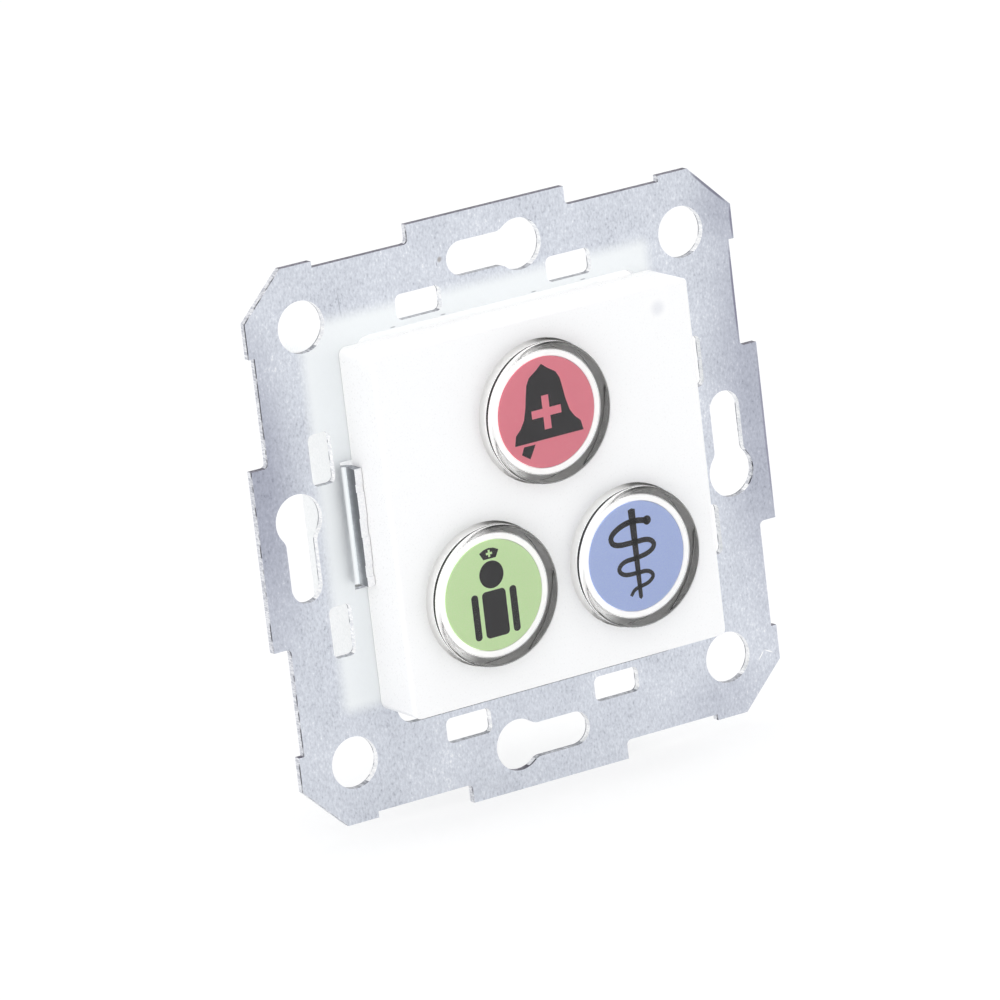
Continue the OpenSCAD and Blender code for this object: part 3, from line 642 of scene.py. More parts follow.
class Shelf:
    """Every finish of the unit."""

    sheet = ZincPlatedSheet("zinc_plated_sheet", "#C9CDD8", 0.42, (
        # Painted shade: the outer strips darker, standing in for a darker reflection there
        Mark((-34.5, 8.0), 56.0, 14.0, 90, "#CCCCD4", 0.95, 0.1, "MULTIPLY"),
        Mark((34.5, 4.0), 80.0, 18.0, 90, "#CCCCD4", 0.75, 0.1, "MULTIPLY"),
        Mark((33.5, 29.0), 15.0, 15.0, 0, "#CCCCD4", 0.55, 0.1, "MULTIPLY"),
        Mark((26.0, -32.0), 24.0, 12.0, 0, "#CFCFD6", 0.4, 0.1, "MULTIPLY"),
        # Painted shade along the outer rim at the right: a thin darker line
        Mark((33.08, 17.6), 14.2, 0.5, 90, "#77748A", 0.75, 0.5),
        Mark((31.1, 31.1), 8.4, 0.5, -45, "#6F6C7E", 0.75, 0.5),
        Mark((33.83, 26.33), 5.0, 0.5, 90, "#77748A", 0.7, 0.5),
        Mark((35.38, 0.0), 22.6, 0.45, 90, "#8A889C", 0.6, 0.5),
        # Stain, hairline and a fresh scratch with one sharp turn
        Mark((-7.0, 30.45), 1.0, 0.8, 60, "#9D9794", 0.75, 0.3),
        Mark((-7.45, 29.95), 0.7, 0.2, 90, "#8D8798", 0.6, 0.2),
        Mark((-21.17, 28.3), 4.4, 0.16, 93.5, "#8E919C", 0.55),
        Mark((32.45, -27.2), 1.7, 0.2, -27, "#FFFFFF", 1.0),
        Mark((31.29, -27.49), 1.8, 0.2, 52, "#FFFFFF", 1.0),
        # Short grey dashes along the top edge of the opening
        *(Mark((x, 23.85), 1.0, 0.2, 0, "#9A9CA2", 0.7) for x in (-14.35, -7.4, 5.3, 12.25)),
    ))
    # Back of the same sheet, which faces the wall: no gleam and no marks
    sheet_back = ZincPlatedSheet("zinc_plated_sheet_back", "#C9CDD8", 0.42, gleam_share=0.0)
    # Outer edges that face up: rough, and coloured dark as painted shade
    shaded_top_edge = ShearedSteel("top_edge_painted_shade", "#6E6C78", 0.45, "#85828F", "#4A4855", "#413F4A")
    # Outside edges that the die sheared cleanly: pale, with a dark line where the die broke in
    sheared = ShearedSteel(
        "sheared_sheet_edge", "#D4D6DB", 0.4, "#F0F1F4", "#BCBEC6", "#4C4D55", -0.66, -0.8
    )
    # Walls that the punch burnished: nearly white
    punched = ShearedSteel("punched_hole_wall", "#F4F5F6", 0.35, "#FFFFFF", "#E2E4E8", "#8A8B92")
    # Walls of the holes that face up: greyer
    grey_hole_wall = ShearedSteel("grey_upward_hole_wall", "#A9ABB2", 0.4, "#C6C8CE", "#85878E", "#74757C")
    # Sheared tip of a lug: bright, with hardly any streaks
    tip = ShearedSteel("sheared_lug_tip", "#FBFBFC", 0.35, "#FFFFFF", "#F3F4F6", "#FFFFFF")
    # Outer side of the lugs: painted shade, darker towards the tip and the top
    flank = PaintedShadeFlank("lug_flank_painted_shade", "#A0A2A6", 0.4)
    cover = MouldedCover(
        "moulded_white_abs", "#F8F8F8", 0.3, 0.22, ("#FBFAF8", "#F9F8F6"), (0.26, 0.34), 0.02, 0.01
    )
    # White PC with a coarser spark eroded grain, which takes the gloss off
    housing = GrainFinish(
        "spark_eroded_white_pc", "#F1F2F0", 0.5, 0.25,
        ("#F5F5F3", "#EBECEA"), (0.45, 0.58), 0.25, 0.03
    )
    clear = ClearMoulding("clear_moulded_acrylic", "#FFFFFF", 0.0)
    clear_front = ClearMoulding("clear_acrylic_front", "#FFFFFF", 0.0, mirror="#A6A6A6")
    guide = ClearMoulding("light_guide_acrylic", "#F4FBFF", 0.02, 1.0, 0.08)
    # Plungers: a painted glow on the rim and on the left flank
    diffuser = DiffuserMoulding(
        "translucent_white_abs", "#F6F5F3", 0.35, 0.3,
        ("#F9F8F6", "#F1F0EE"), (0.3, 0.4), 0.08, 0.01
    )
    # Printed polyester film: an even colour with the faint mottle of screen printing, and a faint
    # painted glow
    red_film, green_film, blue_film = (
        GrainFinish(f"{name}_printed_film", colour, 0.45, 0.2, tones, (0.4, 0.5), 0.05, 0.005, 0.06)
        for name, colour, tones in (
            ("red", "#FA899A", ("#FC8D9D", "#F78596")),
            ("green", "#DCFCBC", ("#DFFEC0", "#D8F9B7")),
            ("blue", "#B8CAFB", ("#BCCEFE", "#B4C6F8")),
        )
    )
    # Screen ink: nearly black, matt, thin enough to let a little of the film's colour show
    ink = GrainFinish(
        "dark_screen_ink", "#1E1A1F", 0.7, 0.15, ("#221E23", "#1A161B"), (0.65, 0.8), 0.12, 0.004
    )
    # Cold drawn spring wire: bright, with fine drawing marks
    wire = GrainMetal(
        "drawn_spring_wire", "#B4B6BA", 0.25, 0.12, ("#C3C5C9", "#A2A4A8"), (0.2, 0.32), 0.1, 0.005
    )
    # Tin plated strip of lids, domes and leads: pale and silky
    tin = GrainMetal(
        "tin_plated_strip", "#CFCFCB", 0.3, 0.2, ("#D8D8D4", "#C3C3BF"), (0.25, 0.38), 0.08, 0.005
    )
    # Glass filled nylon: black, silky, with a trace of fibre
    nylon = GrainFinish(
        "black_glass_filled_nylon", "#1B1B1D", 0.5, 0.12,
        ("#222224", "#141416"), (0.42, 0.58), 0.2, 0.01
    )
    mask = BoardMask("green_solder_mask", "#1E6A3C", 0.35)
    # Sawn board edge: yellowish resin and glass
    board_edge = GrainFinish(
        "sawn_glass_fibre_edge", "#B7B27E", 0.7, 0.1, ("#C6C190", "#A39E6C"), (0.6, 0.8), 0.4, 0.02
    )
    # Transfer moulded epoxy of chips: dark grey and matt
    epoxy = GrainFinish(
        "black_moulded_epoxy", "#26272A", 0.6, 0.1, ("#2D2E31", "#1E1F22"), (0.55, 0.68), 0.2, 0.008
    )
    # Fired ceramic with glazed tan body
    ceramic = GrainFinish(
        "tan_fired_ceramic", "#B08D68", 0.4, 0.15, ("#BB9873", "#A38059"), (0.35, 0.48), 0.1, 0.006
    )
    # Impact extruded aluminium can, thinly lacquered: silvery, with a soft gloss
    can = GrainMetal(
        "extruded_aluminium_can", "#C9CBCE", 0.32, 0.3,
        ("#D2D4D7", "#BCBEC2"), (0.28, 0.4), 0.06, 0.006
    )
    # Green polyamide of pluggable terminals: even, slightly glossy
    terminal = GrainFinish(
        "moulded_green_polyamide", "#3E9A5B", 0.4, 0.25,
        ("#44A262", "#378F53"), (0.34, 0.46), 0.1, 0.01
    )
    # Turned brass pin with a gold flash: warm yellow and smooth
    pin = GrainMetal(
        "gold_flashed_brass_pin", "#D9B25F", 0.25, 0.2,
        ("#E0BB6C", "#CDA550"), (0.2, 0.32), 0.05, 0.004
    )
    # Stainless spring strip of the cage clamps, tumbled: soft grey shine
    clamp = GrainMetal(
        "tumbled_spring_strip", "#B9BABB", 0.35, 0.2,
        ("#C5C6C7", "#A9AAAB"), (0.3, 0.42), 0.1, 0.006
    )
    # Cold headed screw with clear zinc plating: bluish and bright
    screw = GrainMetal(
        "clear_zinc_screw", "#C4C7CE", 0.3, 0.25, ("#CED1D8", "#B4B7BF"), (0.25, 0.38), 0.12, 0.008
    )
    # Lamp body of white filled resin, and its yellow phosphor window
    lamp = GrainFinish(
        "white_lamp_resin", "#F0EFEA", 0.4, 0.15, ("#F4F3EE", "#E9E8E2"), (0.35, 0.45), 0.1, 0.005
    )
    phosphor = GrainFinish(
        "yellow_phosphor_gel", "#E6D24A", 0.3, 0.1, ("#EBDA5C", "#DDC63A"), (0.25, 0.35), 0.1, 0.006
    )
    # Matt paper label with an overcoat, left blank
    label = GrainFinish(
        "blank_paper_label", "#F6F4EC", 0.6, 0.12, ("#F9F7F0", "#EFEDE4"), (0.55, 0.68), 0.15, 0.006
    )


# Mesh making


def new_piece(name: str, mesh: bpy.types.Mesh) -> Piece:
    """Puts a mesh into the scene as a new piece.

    Args:
        name: Piece name.
        mesh: Finished mesh, in metres and in place.

    Returns:
        The new object.
    """
    mesh.name = name
    piece = bpy.data.objects.new(name, mesh)
    bpy.context.scene.collection.objects.link(piece)
    return piece


def mesh_from(name: str, form: bmesh.types.BMesh, crease: float = 35.0) -> bpy.types.Mesh:
    """Turns a working form into a smoothly shaded mesh with sharp creases.

    Args:
        name: Mesh name.
        form: Working form; it is freed.
        crease: Angle in degrees above which an edge shades sharp.

    Returns:
        The mesh.
    """
    bmesh.ops.recalc_face_normals(form, faces=form.faces)
    mesh = bpy.data.meshes.new(name)
    form.to_mesh(mesh)
    form.free()
    mesh.shade_smooth()
    mesh.set_sharp_from_angle(angle=math.radians(crease))
    return mesh


def weigh_normals(piece: Piece) -> None:
    """Lets large flat faces decide the shading next to a small rounded edge.

    Args:
        piece: Piece that gets a new mesh.
    """
    piece.modifiers.new("weigh", "WEIGHTED_NORMAL").keep_sharp = True
    state = bpy.context.evaluated_depsgraph_get()
    mesh = bpy.data.meshes.new_from_object(piece.evaluated_get(state), depsgraph=state)
    piece.modifiers.clear()
    piece.data = mesh


def softened_copy(
    node: Piece,
    name: str,
    roundings: Iterable[tuple[float, Callable[[Edge], bool]]],
    sort_face: Callable[[Face], int],
) -> Piece:
    """Copies a CAD shape into a new piece and breaks its sharp edges.

    Args:
        node: CAD node to copy; it isn't changed.
        name: Name of the new piece.
        roundings: Size of each rounding, in turn, and which of the sharp edges get it.
        sort_face: Gives each face the number of its material.

    Returns:
        The new piece.
    """
    form = bmesh.new()
    form.from_mesh(node.data)
    bmesh.ops.remove_doubles(form, verts=form.verts, dist=WELD * MM)
    flat = math.radians(FLAT)
    bmesh.ops.dissolve_limit(form, angle_limit=flat, verts=form.verts, edges=form.edges)
    for face in form.faces:
        face.material_index = sort_face(face)
    for size, chosen in roundings:
        sharp = [
            edge
            for edge in form.edges
            if len(edge.link_faces) == 2
            and edge.calc_face_angle(0.0) > math.radians(SHARP)
            and chosen(edge)
        ]
        if sharp:
            bmesh.ops.bevel(
                form,
                geom=sharp,
                offset=size * MM,
                offset_type="OFFSET",
                segments=2,
                profile=0.5,
                affect="EDGES",
                clamp_overlap=True,
                material=-1,
            )
    piece = new_piece(name, mesh_from(name, form, SHARP))
    weigh_normals(piece)
    return piece


def filleted(corners: Sequence[Spot], steps: int) -> Loop:
    """Rounds the corners of a run of points.

    Args:
        corners: Points as across, along and the rounding radius at that corner.
        steps: Steps in each rounding.

    Returns:
        The rounded run; first and last corner stay sharp.
    """
    run: Loop = []
    last = len(corners) - 1
    for k, (u, v, radius) in enumerate(corners):
        here = Vector((u, v))
        if radius <= 0 or k in (0, last):
            run.append((u, v))
            continue
        before = (Vector(corners[k - 1][:2]) - here).normalized()
        after = (Vector(corners[k + 1][:2]) - here).normalized()
        half = before.angle(after) / 2
        start = here + before * radius / math.tan(half)
        centre = here + (before + after).normalized() * radius / math.sin(half)
        first = start - centre
        sweep = math.pi - 2 * half
        turn = 1 if before.x * after.y - before.y * after.x < 0 else -1
        for j in range(steps + 1):
            a = turn * sweep * j / steps
            across = centre.x + first.x * math.cos(a) - first.y * math.sin(a)
            run.append((across, centre.y + first.x * math.sin(a) + first.y * math.cos(a)))
    return run


def lofted(name: str, rings: Sequence[Sequence[Spot]]) -> Piece:
    """Skins a run of rings and closes its ends.

    Args:
        name: Name of the new piece.
        rings: Points of each ring, as many in each, or a single one for a tip.

    Returns:
        The new piece.
    """
    form = bmesh.new()
    sides = max(len(ring) for ring in rings)
    loops = [[form.verts.new([v * MM for v in spot]) for spot in ring] for ring in rings]
    loops = [loop * sides if len(loop) == 1 else loop for loop in loops]
    for one, two in zip(loops, loops[1:]):
        for j in range(sides):
            k = (j + 1) % sides
            corners = list(dict.fromkeys([one[j], one[k], two[k], two[j]]))
            if len(corners) > 2:
                form.faces.new(corners)
    for end in (loops[0], loops[-1][::-1]):
        if len(set(end)) > 2:
            form.faces.new(end)
    return new_piece(name, mesh_from(name, form))


def turned(name: str, profile: Loop, centre: Point, steps: int) -> Piece:
    """Turns a profile about an axis that runs along Y.

    Args:
        name: Name of the new piece.
        profile: Points as radius and depth; it starts and ends on the axis.
        centre: Place of the axis in X and Z.
        steps: Steps round the axis.

    Returns:
        The new piece.
    """
    cx, cz = centre
    angles = [2 * math.pi * k / steps for k in range(steps)]
    rings = [
        [(cx + r * math.cos(a), y, cz + r * math.sin(a)) for a in (angles if r > 0 else [0.0])]
        for r, y in profile
    ]
    return lofted(name, rings)


def pressed_sheet(name: str, shapes: Sign, front: float, back: float) -> Piece:
    """Makes thin flat shapes from outlines, such as a label or a layer of ink.

    Args:
        name: Name of the new piece.
        shapes: For each shape its outline and then its holes, as X and Z.
        front: Depth of the front face.
        back: Depth of the back face.

    Returns:
        The new piece.
    """
    form = bmesh.new()
    for loops in shapes:
        sides = [
            [form.verts.new((x * MM, depth * MM, z * MM)) for loop in loops for x, z in loop]
            for depth in (front, back)
        ]
        for triple in tessellate_polygon([[Vector((x, z, 0)) for x, z in loop] for loop in loops]):
            for side in sides:
                form.faces.new([side[k] for k in triple])
        start = 0
        for loop in loops:
            count = len(loop)
            for k in range(count):
                a, b = start + k, start + (k + 1) % count
                form.faces.new([sides[0][a], sides[0][b], sides[1][b], sides[1][a]])
            start += count
    return new_piece(name, mesh_from(name, form))


def round_rectangle(width: float, height: float, radius: float, middle: Point) -> Loop:
    """Outline of a rectangle with round corners.

    Args:
        width: Size along X.
        height: Size along Z.
        radius: Corner radius.
        middle: Place of its middle.

    Returns:
        The closed outline.
    """
    outline, steps = [], 6
    for sx, sz, start in ((1, 1, 0), (-1, 1, 90), (-1, -1, 180), (1, -1, 270)):
        cx = middle[0] + sx * (width / 2 - radius)
        cz = middle[1] + sz * (height / 2 - radius)
        for j in range(steps + 1):
            a = math.radians(start + 90 * j / steps)
            outline.append((cx + radius * math.cos(a), cz + radius * math.sin(a)))
    return outline


def disc(radius: float, middle: Point) -> Loop:
    """Outline of a disc.

    Args:
        radius: Its radius.
        middle: Place of its middle.

    Returns:
        The closed outline.
    """
    steps = 48
    angles = [2 * math.pi / steps * k for k in range(steps)]
    return [(middle[0] + radius * math.cos(a), middle[1] + radius * math.sin(a)) for a in angles]


def box_mm(node: str) -> tuple[Vector, Vector]:
    """Lowest and highest corner of a CAD node, in millimetres."""
    low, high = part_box(node)
    return low / MM, high / MM


def middle_of(node: str) -> Point:
    """Middle of a CAD node in X and Z, in millimetres."""
    low, high = box_mm(node)
    return (low.x + high.x) / 2, (low.z + high.z) / 2


# Signs on the legends, in shares of a legend's radius


def cross(size: float, arm: float, middle: Point) -> Loop:
    """Outline of an upright cross.

    Args:
        size: Length of each beam.
        arm: Width of each beam.
        middle: Place of its middle.

    Returns:
        The closed outline.
    """
    h, a = size / 2, arm / 2
    upper = [(a, a), (a, h), (-a, h), (-a, a), (-h, a)]
    corners = upper + [(-h, -a), (-a, -a), (-a, -h), (a, -h), (a, -a), (h, -a), (h, a)]
    return [(middle[0] + x, middle[1] + z) for x, z in corners]


def bell_sign() -> Sign:
    """A bell with a cross cut out of it, and its clapper.

    Returns:
        Each shape's outline and holes.
    """
    right = [(0, 0.88), (0.11, 0.79), (0.28, 0.68), (0.35, 0.55), (0.39, 0.34), (0.42, 0.16)]
    right += [(0.48, -0.06), (0.57, -0.2), (0.68, -0.3), (0.72, -0.48)]
    bell = right + [(-x, z) for x, z in reversed(right[1:])]
    clapper = [(-0.54, -0.53), (-0.3, -0.53), (-0.44, -0.77), (-0.6, -0.66)]
    return [[bell, cross(0.62, 0.15, (0, 0))], [clapper]]


def carer_sign() -> Sign:
    """A plain figure of a carer: head, body, two arms and a cap with a cross.

    Returns:
        Each shape's outline and holes.
    """
    head = disc(0.25, (0, 0.38))
    body = round_rectangle(0.49, 0.85, 0.08, (0, -0.335))
    arms = [[round_rectangle(0.14, 0.84, 0.065, (x, -0.335))] for x in (-0.4, 0.4)]
    cap = [(-0.2, 0.8), (-0.1, 0.85), (0, 0.865), (0.1, 0.85), (0.2, 0.8)]
    cap += [(0.13, 0.67), (-0.13, 0.67)]
    return [[head], [body], *arms, [cap, cross(0.13, 0.043, (0, 0.765))]]


def corner_cut(run: Loop) -> Loop:
    """Cuts every corner of an open run of points, which softens it.

    Args:
        run: The points.

    Returns:
        The softened run, with the same ends.
    """
    soft = [run[0]]
    for (ax, az), (bx, bz) in zip(run, run[1:]):
        soft += [((3 * ax + bx) / 4, (3 * az + bz) / 4), ((ax + 3 * bx) / 4, (az + 3 * bz) / 4)]
    return soft + [run[-1]]


def staff_sign() -> Sign:
    """A staff with one serpent wound round it.

    Returns:
        Each shape's outline and holes.
    """
    spine = [(0.3, 0.6), (0, 0.66), (-0.3, 0.6), (-0.52, 0.45), (-0.44, 0.27), (0, 0.26)]
    spine += [(0.3, 0.26), (0.42, 0.13), (0.3, 0.01), (0, -0.04), (-0.28, -0.04), (-0.42, -0.17)]
    spine += [(-0.3, -0.3), (0, -0.31), (0.22, -0.31), (0.33, -0.43), (0.2, -0.54), (0, -0.57)]
    run = corner_cut(corner_cut(spine + [(-0.12, -0.6), (-0.2, -0.7)]))
    last = len(run) - 1
    thick, taper = 0.056, 0.024
    left, right = [], []
    for k, (x, z) in enumerate(run):
        along = Vector(run[min(last, k + 1)]) - Vector(run[max(0, k - 1)])
        side = Vector((-along.y, along.x)).normalized() * (thick - taper * k / last)
        left.append((x + side.x, z + side.y))
        right.append((x - side.x, z - side.y))
    staff = [(-0.075, 0.86), (0, 0.885), (0.075, 0.86), (0.04, -0.76), (0, -0.8), (-0.04, -0.76)]
    return [[left + right[::-1]], [disc(0.085, run[0])], [staff]]


# Sub-assemblies


@dataclass
class SubAssembly:
    """What every sub-assembly works with: the CAD nodes and its home body."""

    nodes: dict[str, Piece]
    body: str = "base"

    def settle(
        self, piece: Piece, slot: str, finishes: Iterable[Finish], node: str = "", body: str = ""
    ) -> None:
        """Gives a finished piece its materials and its body, and hides the node it stands for.

        Args:
            piece: Finished piece, in place.
            slot: Material slot of the record; not used.
            finishes: One finish for each material number of its faces.
            node: CAD node that it stands for, if any.
            body: CAD body that it rides on, if not this sub-assembly's own.
        """
        for finish in finishes:
            piece.data.materials.append(finish.make())
        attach(piece, body or self.body)
        if node:
            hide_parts(node)
        LOG.info("%s rides on %s", piece.name, body or self.body)

    def soften(
        self,
        node: str,
        slot: str,
        finishes: Sequence[Finish],
        edge_mm: float,
        body: str = "",
        finish_of: Callable[[Face], Finish] | None = None,
        wider: Sequence[tuple[float, Callable[[Edge], bool]]] = (),
    ) -> None:
        """Replaces a CAD node by a copy with broken edges and real finishes.

        Args:
            node: CAD node to stand for.
            slot: Material slot of the record.
            finishes: Every finish on it, in the order of its materials.
            edge_mm: Size of the rounding on each sharp edge.
            body: CAD body that it rides on, if not this sub-assembly's own.
            finish_of: Picks a face's finish, where there is more than one.
            wider: Size of a wider rounding that comes first, and which edges get it.
        """

        def sort_face(face: Face) -> int:
            """Gives the number of a face's material."""
            return finishes.index(finish_of(face)) if finish_of else 0

        roundings = [*wider, (edge_mm, lambda edge: True)]
        piece = softened_copy(self.nodes[node], f"{node}_piece", roundings, sort_face)
        self.settle(piece, slot, finishes, node, body)


@dataclass
class SupportPlate(SubAssembly):
    """The stamped steel plate with its two bent lugs."""

    edge: float = 0.07
    lug_from: float = 1.4
    rim_reach: float = 32.3
    corner_reach: float = 60.0
    # Shares of a face's normal from which the face counts as facing that way
    lug_share: float = 0.5
    sheet_share: float = 0.3
    edge_share: float = 0.35

    def finish_of(self, face: Face) -> Finish:
        """Tells the sheet, its cut edges and the parts of the lugs apart.

        Args:
            face: A face of the plate.

        Returns:
            The finish that it gets.
        """
        middle, normal = face.calc_center_median() / MM, face.normal
        if middle.y < -self.lug_from:
            if abs(normal.x) > self.lug_share:
                return Shelf.flank
            return Shelf.tip if normal.y < -self.lug_share else Shelf.punched
        if abs(normal.y) > self.sheet_share:
            return Shelf.sheet if normal.y < 0 else Shelf.sheet_back
        outside = max(abs(middle.x), abs(middle.z)) > self.rim_reach
        if outside or abs(middle.x) + abs(middle.z) > self.corner_reach:
            if normal.x < -self.edge_share:
                return Shelf.sheared
            return Shelf.shaded_top_edge if normal.z > self.edge_share else Shelf.punched
        low_wall = normal.z > self.edge_share and normal.x > -self.lug_share
        return Shelf.grey_hole_wall if low_wall else Shelf.punched

    def build(self) -> None:
        """Makes the plate."""
        edges = [Shelf.shaded_top_edge, Shelf.sheared, Shelf.punched, Shelf.grey_hole_wall]
        finishes = [Shelf.sheet, *edges, Shelf.flank, Shelf.sheet_back, Shelf.tip]
        self.soften("support_plate", "plate_steel", finishes, self.edge, finish_of=self.finish_of)


@dataclass
class FrontCover(SubAssembly):
    """The white moulded cover with its light guide and status lamp."""

    edge: float = 0.08
    foot_edge: float = 0.17
    foot_y: float = -1.0
    foot_reach: float = 20.9
    foot_slack: float = 0.02
    guide_edge: float = 0.1
    lamp_edge: float = 0.05
    gel_inset: float = 0.25
    gel_r: float = 0.15
    gel_front: float = 0.02
    gel_back: float = 0.05

    def on_foot(self, edge: Edge) -> bool:
        """True for the outer foot, whose wider rounding leaves a fine groove on the plate."""
        low = all(abs(v.co.y / MM - self.foot_y) < self.foot_slack for v in edge.verts)
        return low and all(max(abs(v.co.x), abs(v.co.z)) / MM > self.foot_reach for v in edge.verts)

    def build(self) -> None:
        """Makes cover, light guide and status lamp."""
        foot = [(self.foot_edge, self.on_foot)]
        self.soften("front_cover", "cover_white", [Shelf.cover], self.edge, wider=foot)
        self.soften("light_guide", "guide_clear", [Shelf.guide], self.guide_edge)
        self.soften("window_lamp", "lamp_white", [Shelf.lamp], self.lamp_edge)
        low, high = box_mm("window_lamp")
        width, height = (size - 2 * self.gel_inset for size in (high.x - low.x, high.z - low.z))
        gel = round_rectangle(width, height, self.gel_r, middle_of("window_lamp"))
        front, back = low.y - self.gel_front, low.y + self.gel_back
        piece = pressed_sheet("window_lamp_gel", [[gel]], front, back)
        self.settle(piece, "lamp_white", [Shelf.phosphor])


class Purpose(Enum):
    """What a button is for: its name, its film, its slot and its sign."""

    CALL = ("call", Shelf.red_film, "legend_red", bell_sign)
    PRESENCE = ("presence", Shelf.green_film, "legend_green", carer_sign)
    DOCTOR = ("doctor", Shelf.blue_film, "legend_blue", staff_sign)

    def __init__(self, label: str, film: Finish, slot: str, sign: Callable[[], Sign]) -> None:
        """Names the four parts of the value."""
        self.label, self.film, self.slot, self.sign = label, film, slot, sign


@dataclass
class Button(SubAssembly):
    """One push button: clear cap, printed legend, white plunger and return spring."""

    purpose: Purpose = Purpose.CALL
    edge_r: float = 0.5
    inner_r: float = 0.15
    foot_r: float = 0.1
    front_t: float = 1.5
    skirt_t: float = 1.0
    # Share of a face's normal from which it belongs to the cap's flat front
    face_share: float = 0.9
    film_r: float = 0.04
    ink_t: float = 0.02
    plunger_edge: float = 0.06
    wire: float = 0.45
    coil_d: float = 5.8
    turns: int = 5
    # Turns that lie closed at each end, and how softly the pitch sets in
    closed: float = 0.75
    ease: float = 0.2
    travel: float = 1.0

    def cap(self) -> None:
        """Turns the clear cap with rounded edges."""
        name = f"{self.purpose.label}_cap"
        low, high = box_mm(name)
        outer = (high.x - low.x) / 2
        inner = outer - self.skirt_t
        web = low.y + self.front_t
        front = [(0, low.y, 0), (outer, low.y, self.edge_r), (outer, high.y, self.foot_r)]
        back = [(inner, high.y, self.foot_r), (inner, web, self.inner_r), (0, web, 0)]
        profile = filleted(front + back, steps=8)
        piece = turned(f"{name}_piece", profile, middle_of(name), steps=160)
        for polygon in piece.data.polygons:
            polygon.material_index = int(abs(polygon.normal.y) > self.face_share)
        self.settle(piece, "cap_clear", [Shelf.clear, Shelf.clear_front], name)

    def legend(self) -> None:
        """Turns the film disc and prints its sign."""
        name = f"{self.purpose.label}_legend"
        low, high = box_mm(name)
        radius = (high.x - low.x) / 2
        rim = [(radius, low.y, self.film_r), (radius, high.y, self.film_r)]
        profile = filleted([(0, low.y, 0), *rim, (0, high.y, 0)], steps=3)
        cx, cz = middle_of(f"{self.purpose.label}_cap")
        piece = turned(f"{name}_piece", profile, (cx, cz), steps=128)
        self.settle(piece, self.purpose.slot, [self.purpose.film], name)
        shapes = [
            [[(cx + radius * x, cz + radius * z) for x, z in loop] for loop in shape]
            for shape in self.purpose.sign()
        ]
        front, back = low.y - self.ink_t, low.y + self.ink_t
        ink = pressed_sheet(f"{self.purpose.label}_sign", shapes, front, back)
        self.settle(ink, self.purpose.slot, [Shelf.ink])

    def spring(self) -> None:
        """Winds the return spring with closed ends."""
        name = f"{self.purpose.label}_spring"
        low, high = box_mm(name)
        cx, cz = middle_of(f"{self.purpose.label}_cap")
        mean = (self.coil_d - self.wire) / 2
        first, last = low.y + self.wire / 2, high.y - self.wire / 2
        rings, per_turn, sides = [], 40, 12
        for k in range(self.turns * per_turn + 1):
            t = k / per_turn
            share = min(1.0, max(0.0, (t - self.closed) / (self.turns - 2 * self.closed)))
            share = share * share * (3 - 2 * share) * self.ease + share * (1 - self.ease)
            a = 2 * math.pi * t
            ring = []
            for j in range(sides):
                b = 2 * math.pi * j / sides
                r = mean + self.wire / 2 * math.cos(b)
                y = first + (last - first) * share + self.wire / 2 * math.sin(b)
                ring.append((cx + r * math.cos(a), y, cz + r * math.sin(a)))
            rings.append(ring)
        piece = lofted(f"{name}_piece", rings)
        self.settle(piece, "spring_steel", [Shelf.wire], name, "base")
        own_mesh(piece)

    def build(self) -> None:
        """Makes the four parts of the button."""
        self.cap()
        self.legend()
        plunger = f"{self.purpose.label}_plunger"
        self.soften(plunger, "plunger_white", [Shelf.diffuser], self.plunger_edge)
        self.spring()


@dataclass
class Switch(SubAssembly):
    """The tactile switch and the two lamps behind a button."""

    purpose: Purpose = Purpose.CALL
    body_edge: float = 0.12
    lid_edge: float = 0.05
    stem_edge: float = 0.15
    leg_edge: float = 0.06
    lamp_edge: float = 0.05
    dome_t: float = 0.1
    travel: float = 1.0
    gel_r: float = 0.8
    gel_inset: float = 1.1
    gel_front: float = 0.15
    gel_back: float = 0.6

    def dome(self) -> None:
        """Turns the snap dome as a thin shallow shell."""
        name = f"{self.purpose.label}_snap_dome"
        low, high = box_mm(name)
        cx, cz = middle_of(name)
        rim, rise = (high.x - low.x) / 2, high.y - low.y
        ball = (rim * rim + rise * rise) / (2 * rise)
        steps = 14

        def arc(radius: float) -> Loop:
            """Points from the crown to the rim of a ball of a given radius."""
            angles = [math.acos((ball - rise) / radius) * k / steps for k in range(steps + 1)]
            return [(radius * math.sin(a), low.y + ball - radius * math.cos(a)) for a in angles]

        profile = arc(ball) + arc(ball - self.dome_t)[::-1]
        piece = turned(f"{name}_piece", profile, (cx, cz), steps=64)
        self.settle(piece, "spring_steel", [Shelf.clamp], name)
        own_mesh(piece)

    def lamps(self) -> None:
        """Makes both lamps with their phosphor windows."""
        name = f"{self.purpose.label}_lamps"
        self.soften(name, "lamp_white", [Shelf.lamp], self.lamp_edge)
        low, high = box_mm(name)
        z = middle_of(name)[1]
        shapes = [
            [disc(self.gel_r, (x, z))] for x in (low.x + self.gel_inset, high.x - self.gel_inset)
        ]
        gel = pressed_sheet(f"{name}_gel", shapes, low.y + self.gel_front, low.y + self.gel_back)
        self.settle(gel, "lamp_white", [Shelf.phosphor])

    def build(self) -> None:
        """Makes the switch and its lamps."""
        label = self.purpose.label
        switch, nylon, tin = f"{label}_switch", [Shelf.nylon], [Shelf.tin]
        self.soften(f"{switch}_body", "switch_black", nylon, self.body_edge)
        self.soften(f"{switch}_lid", "tin_plate", tin, self.lid_edge)
        self.soften(f"{switch}_stem", "switch_black", nylon, self.stem_edge, f"{label}_stem")
        self.soften(f"{switch}_legs", "tin_plate", tin, self.leg_edge)
        self.dome()
        self.lamps()


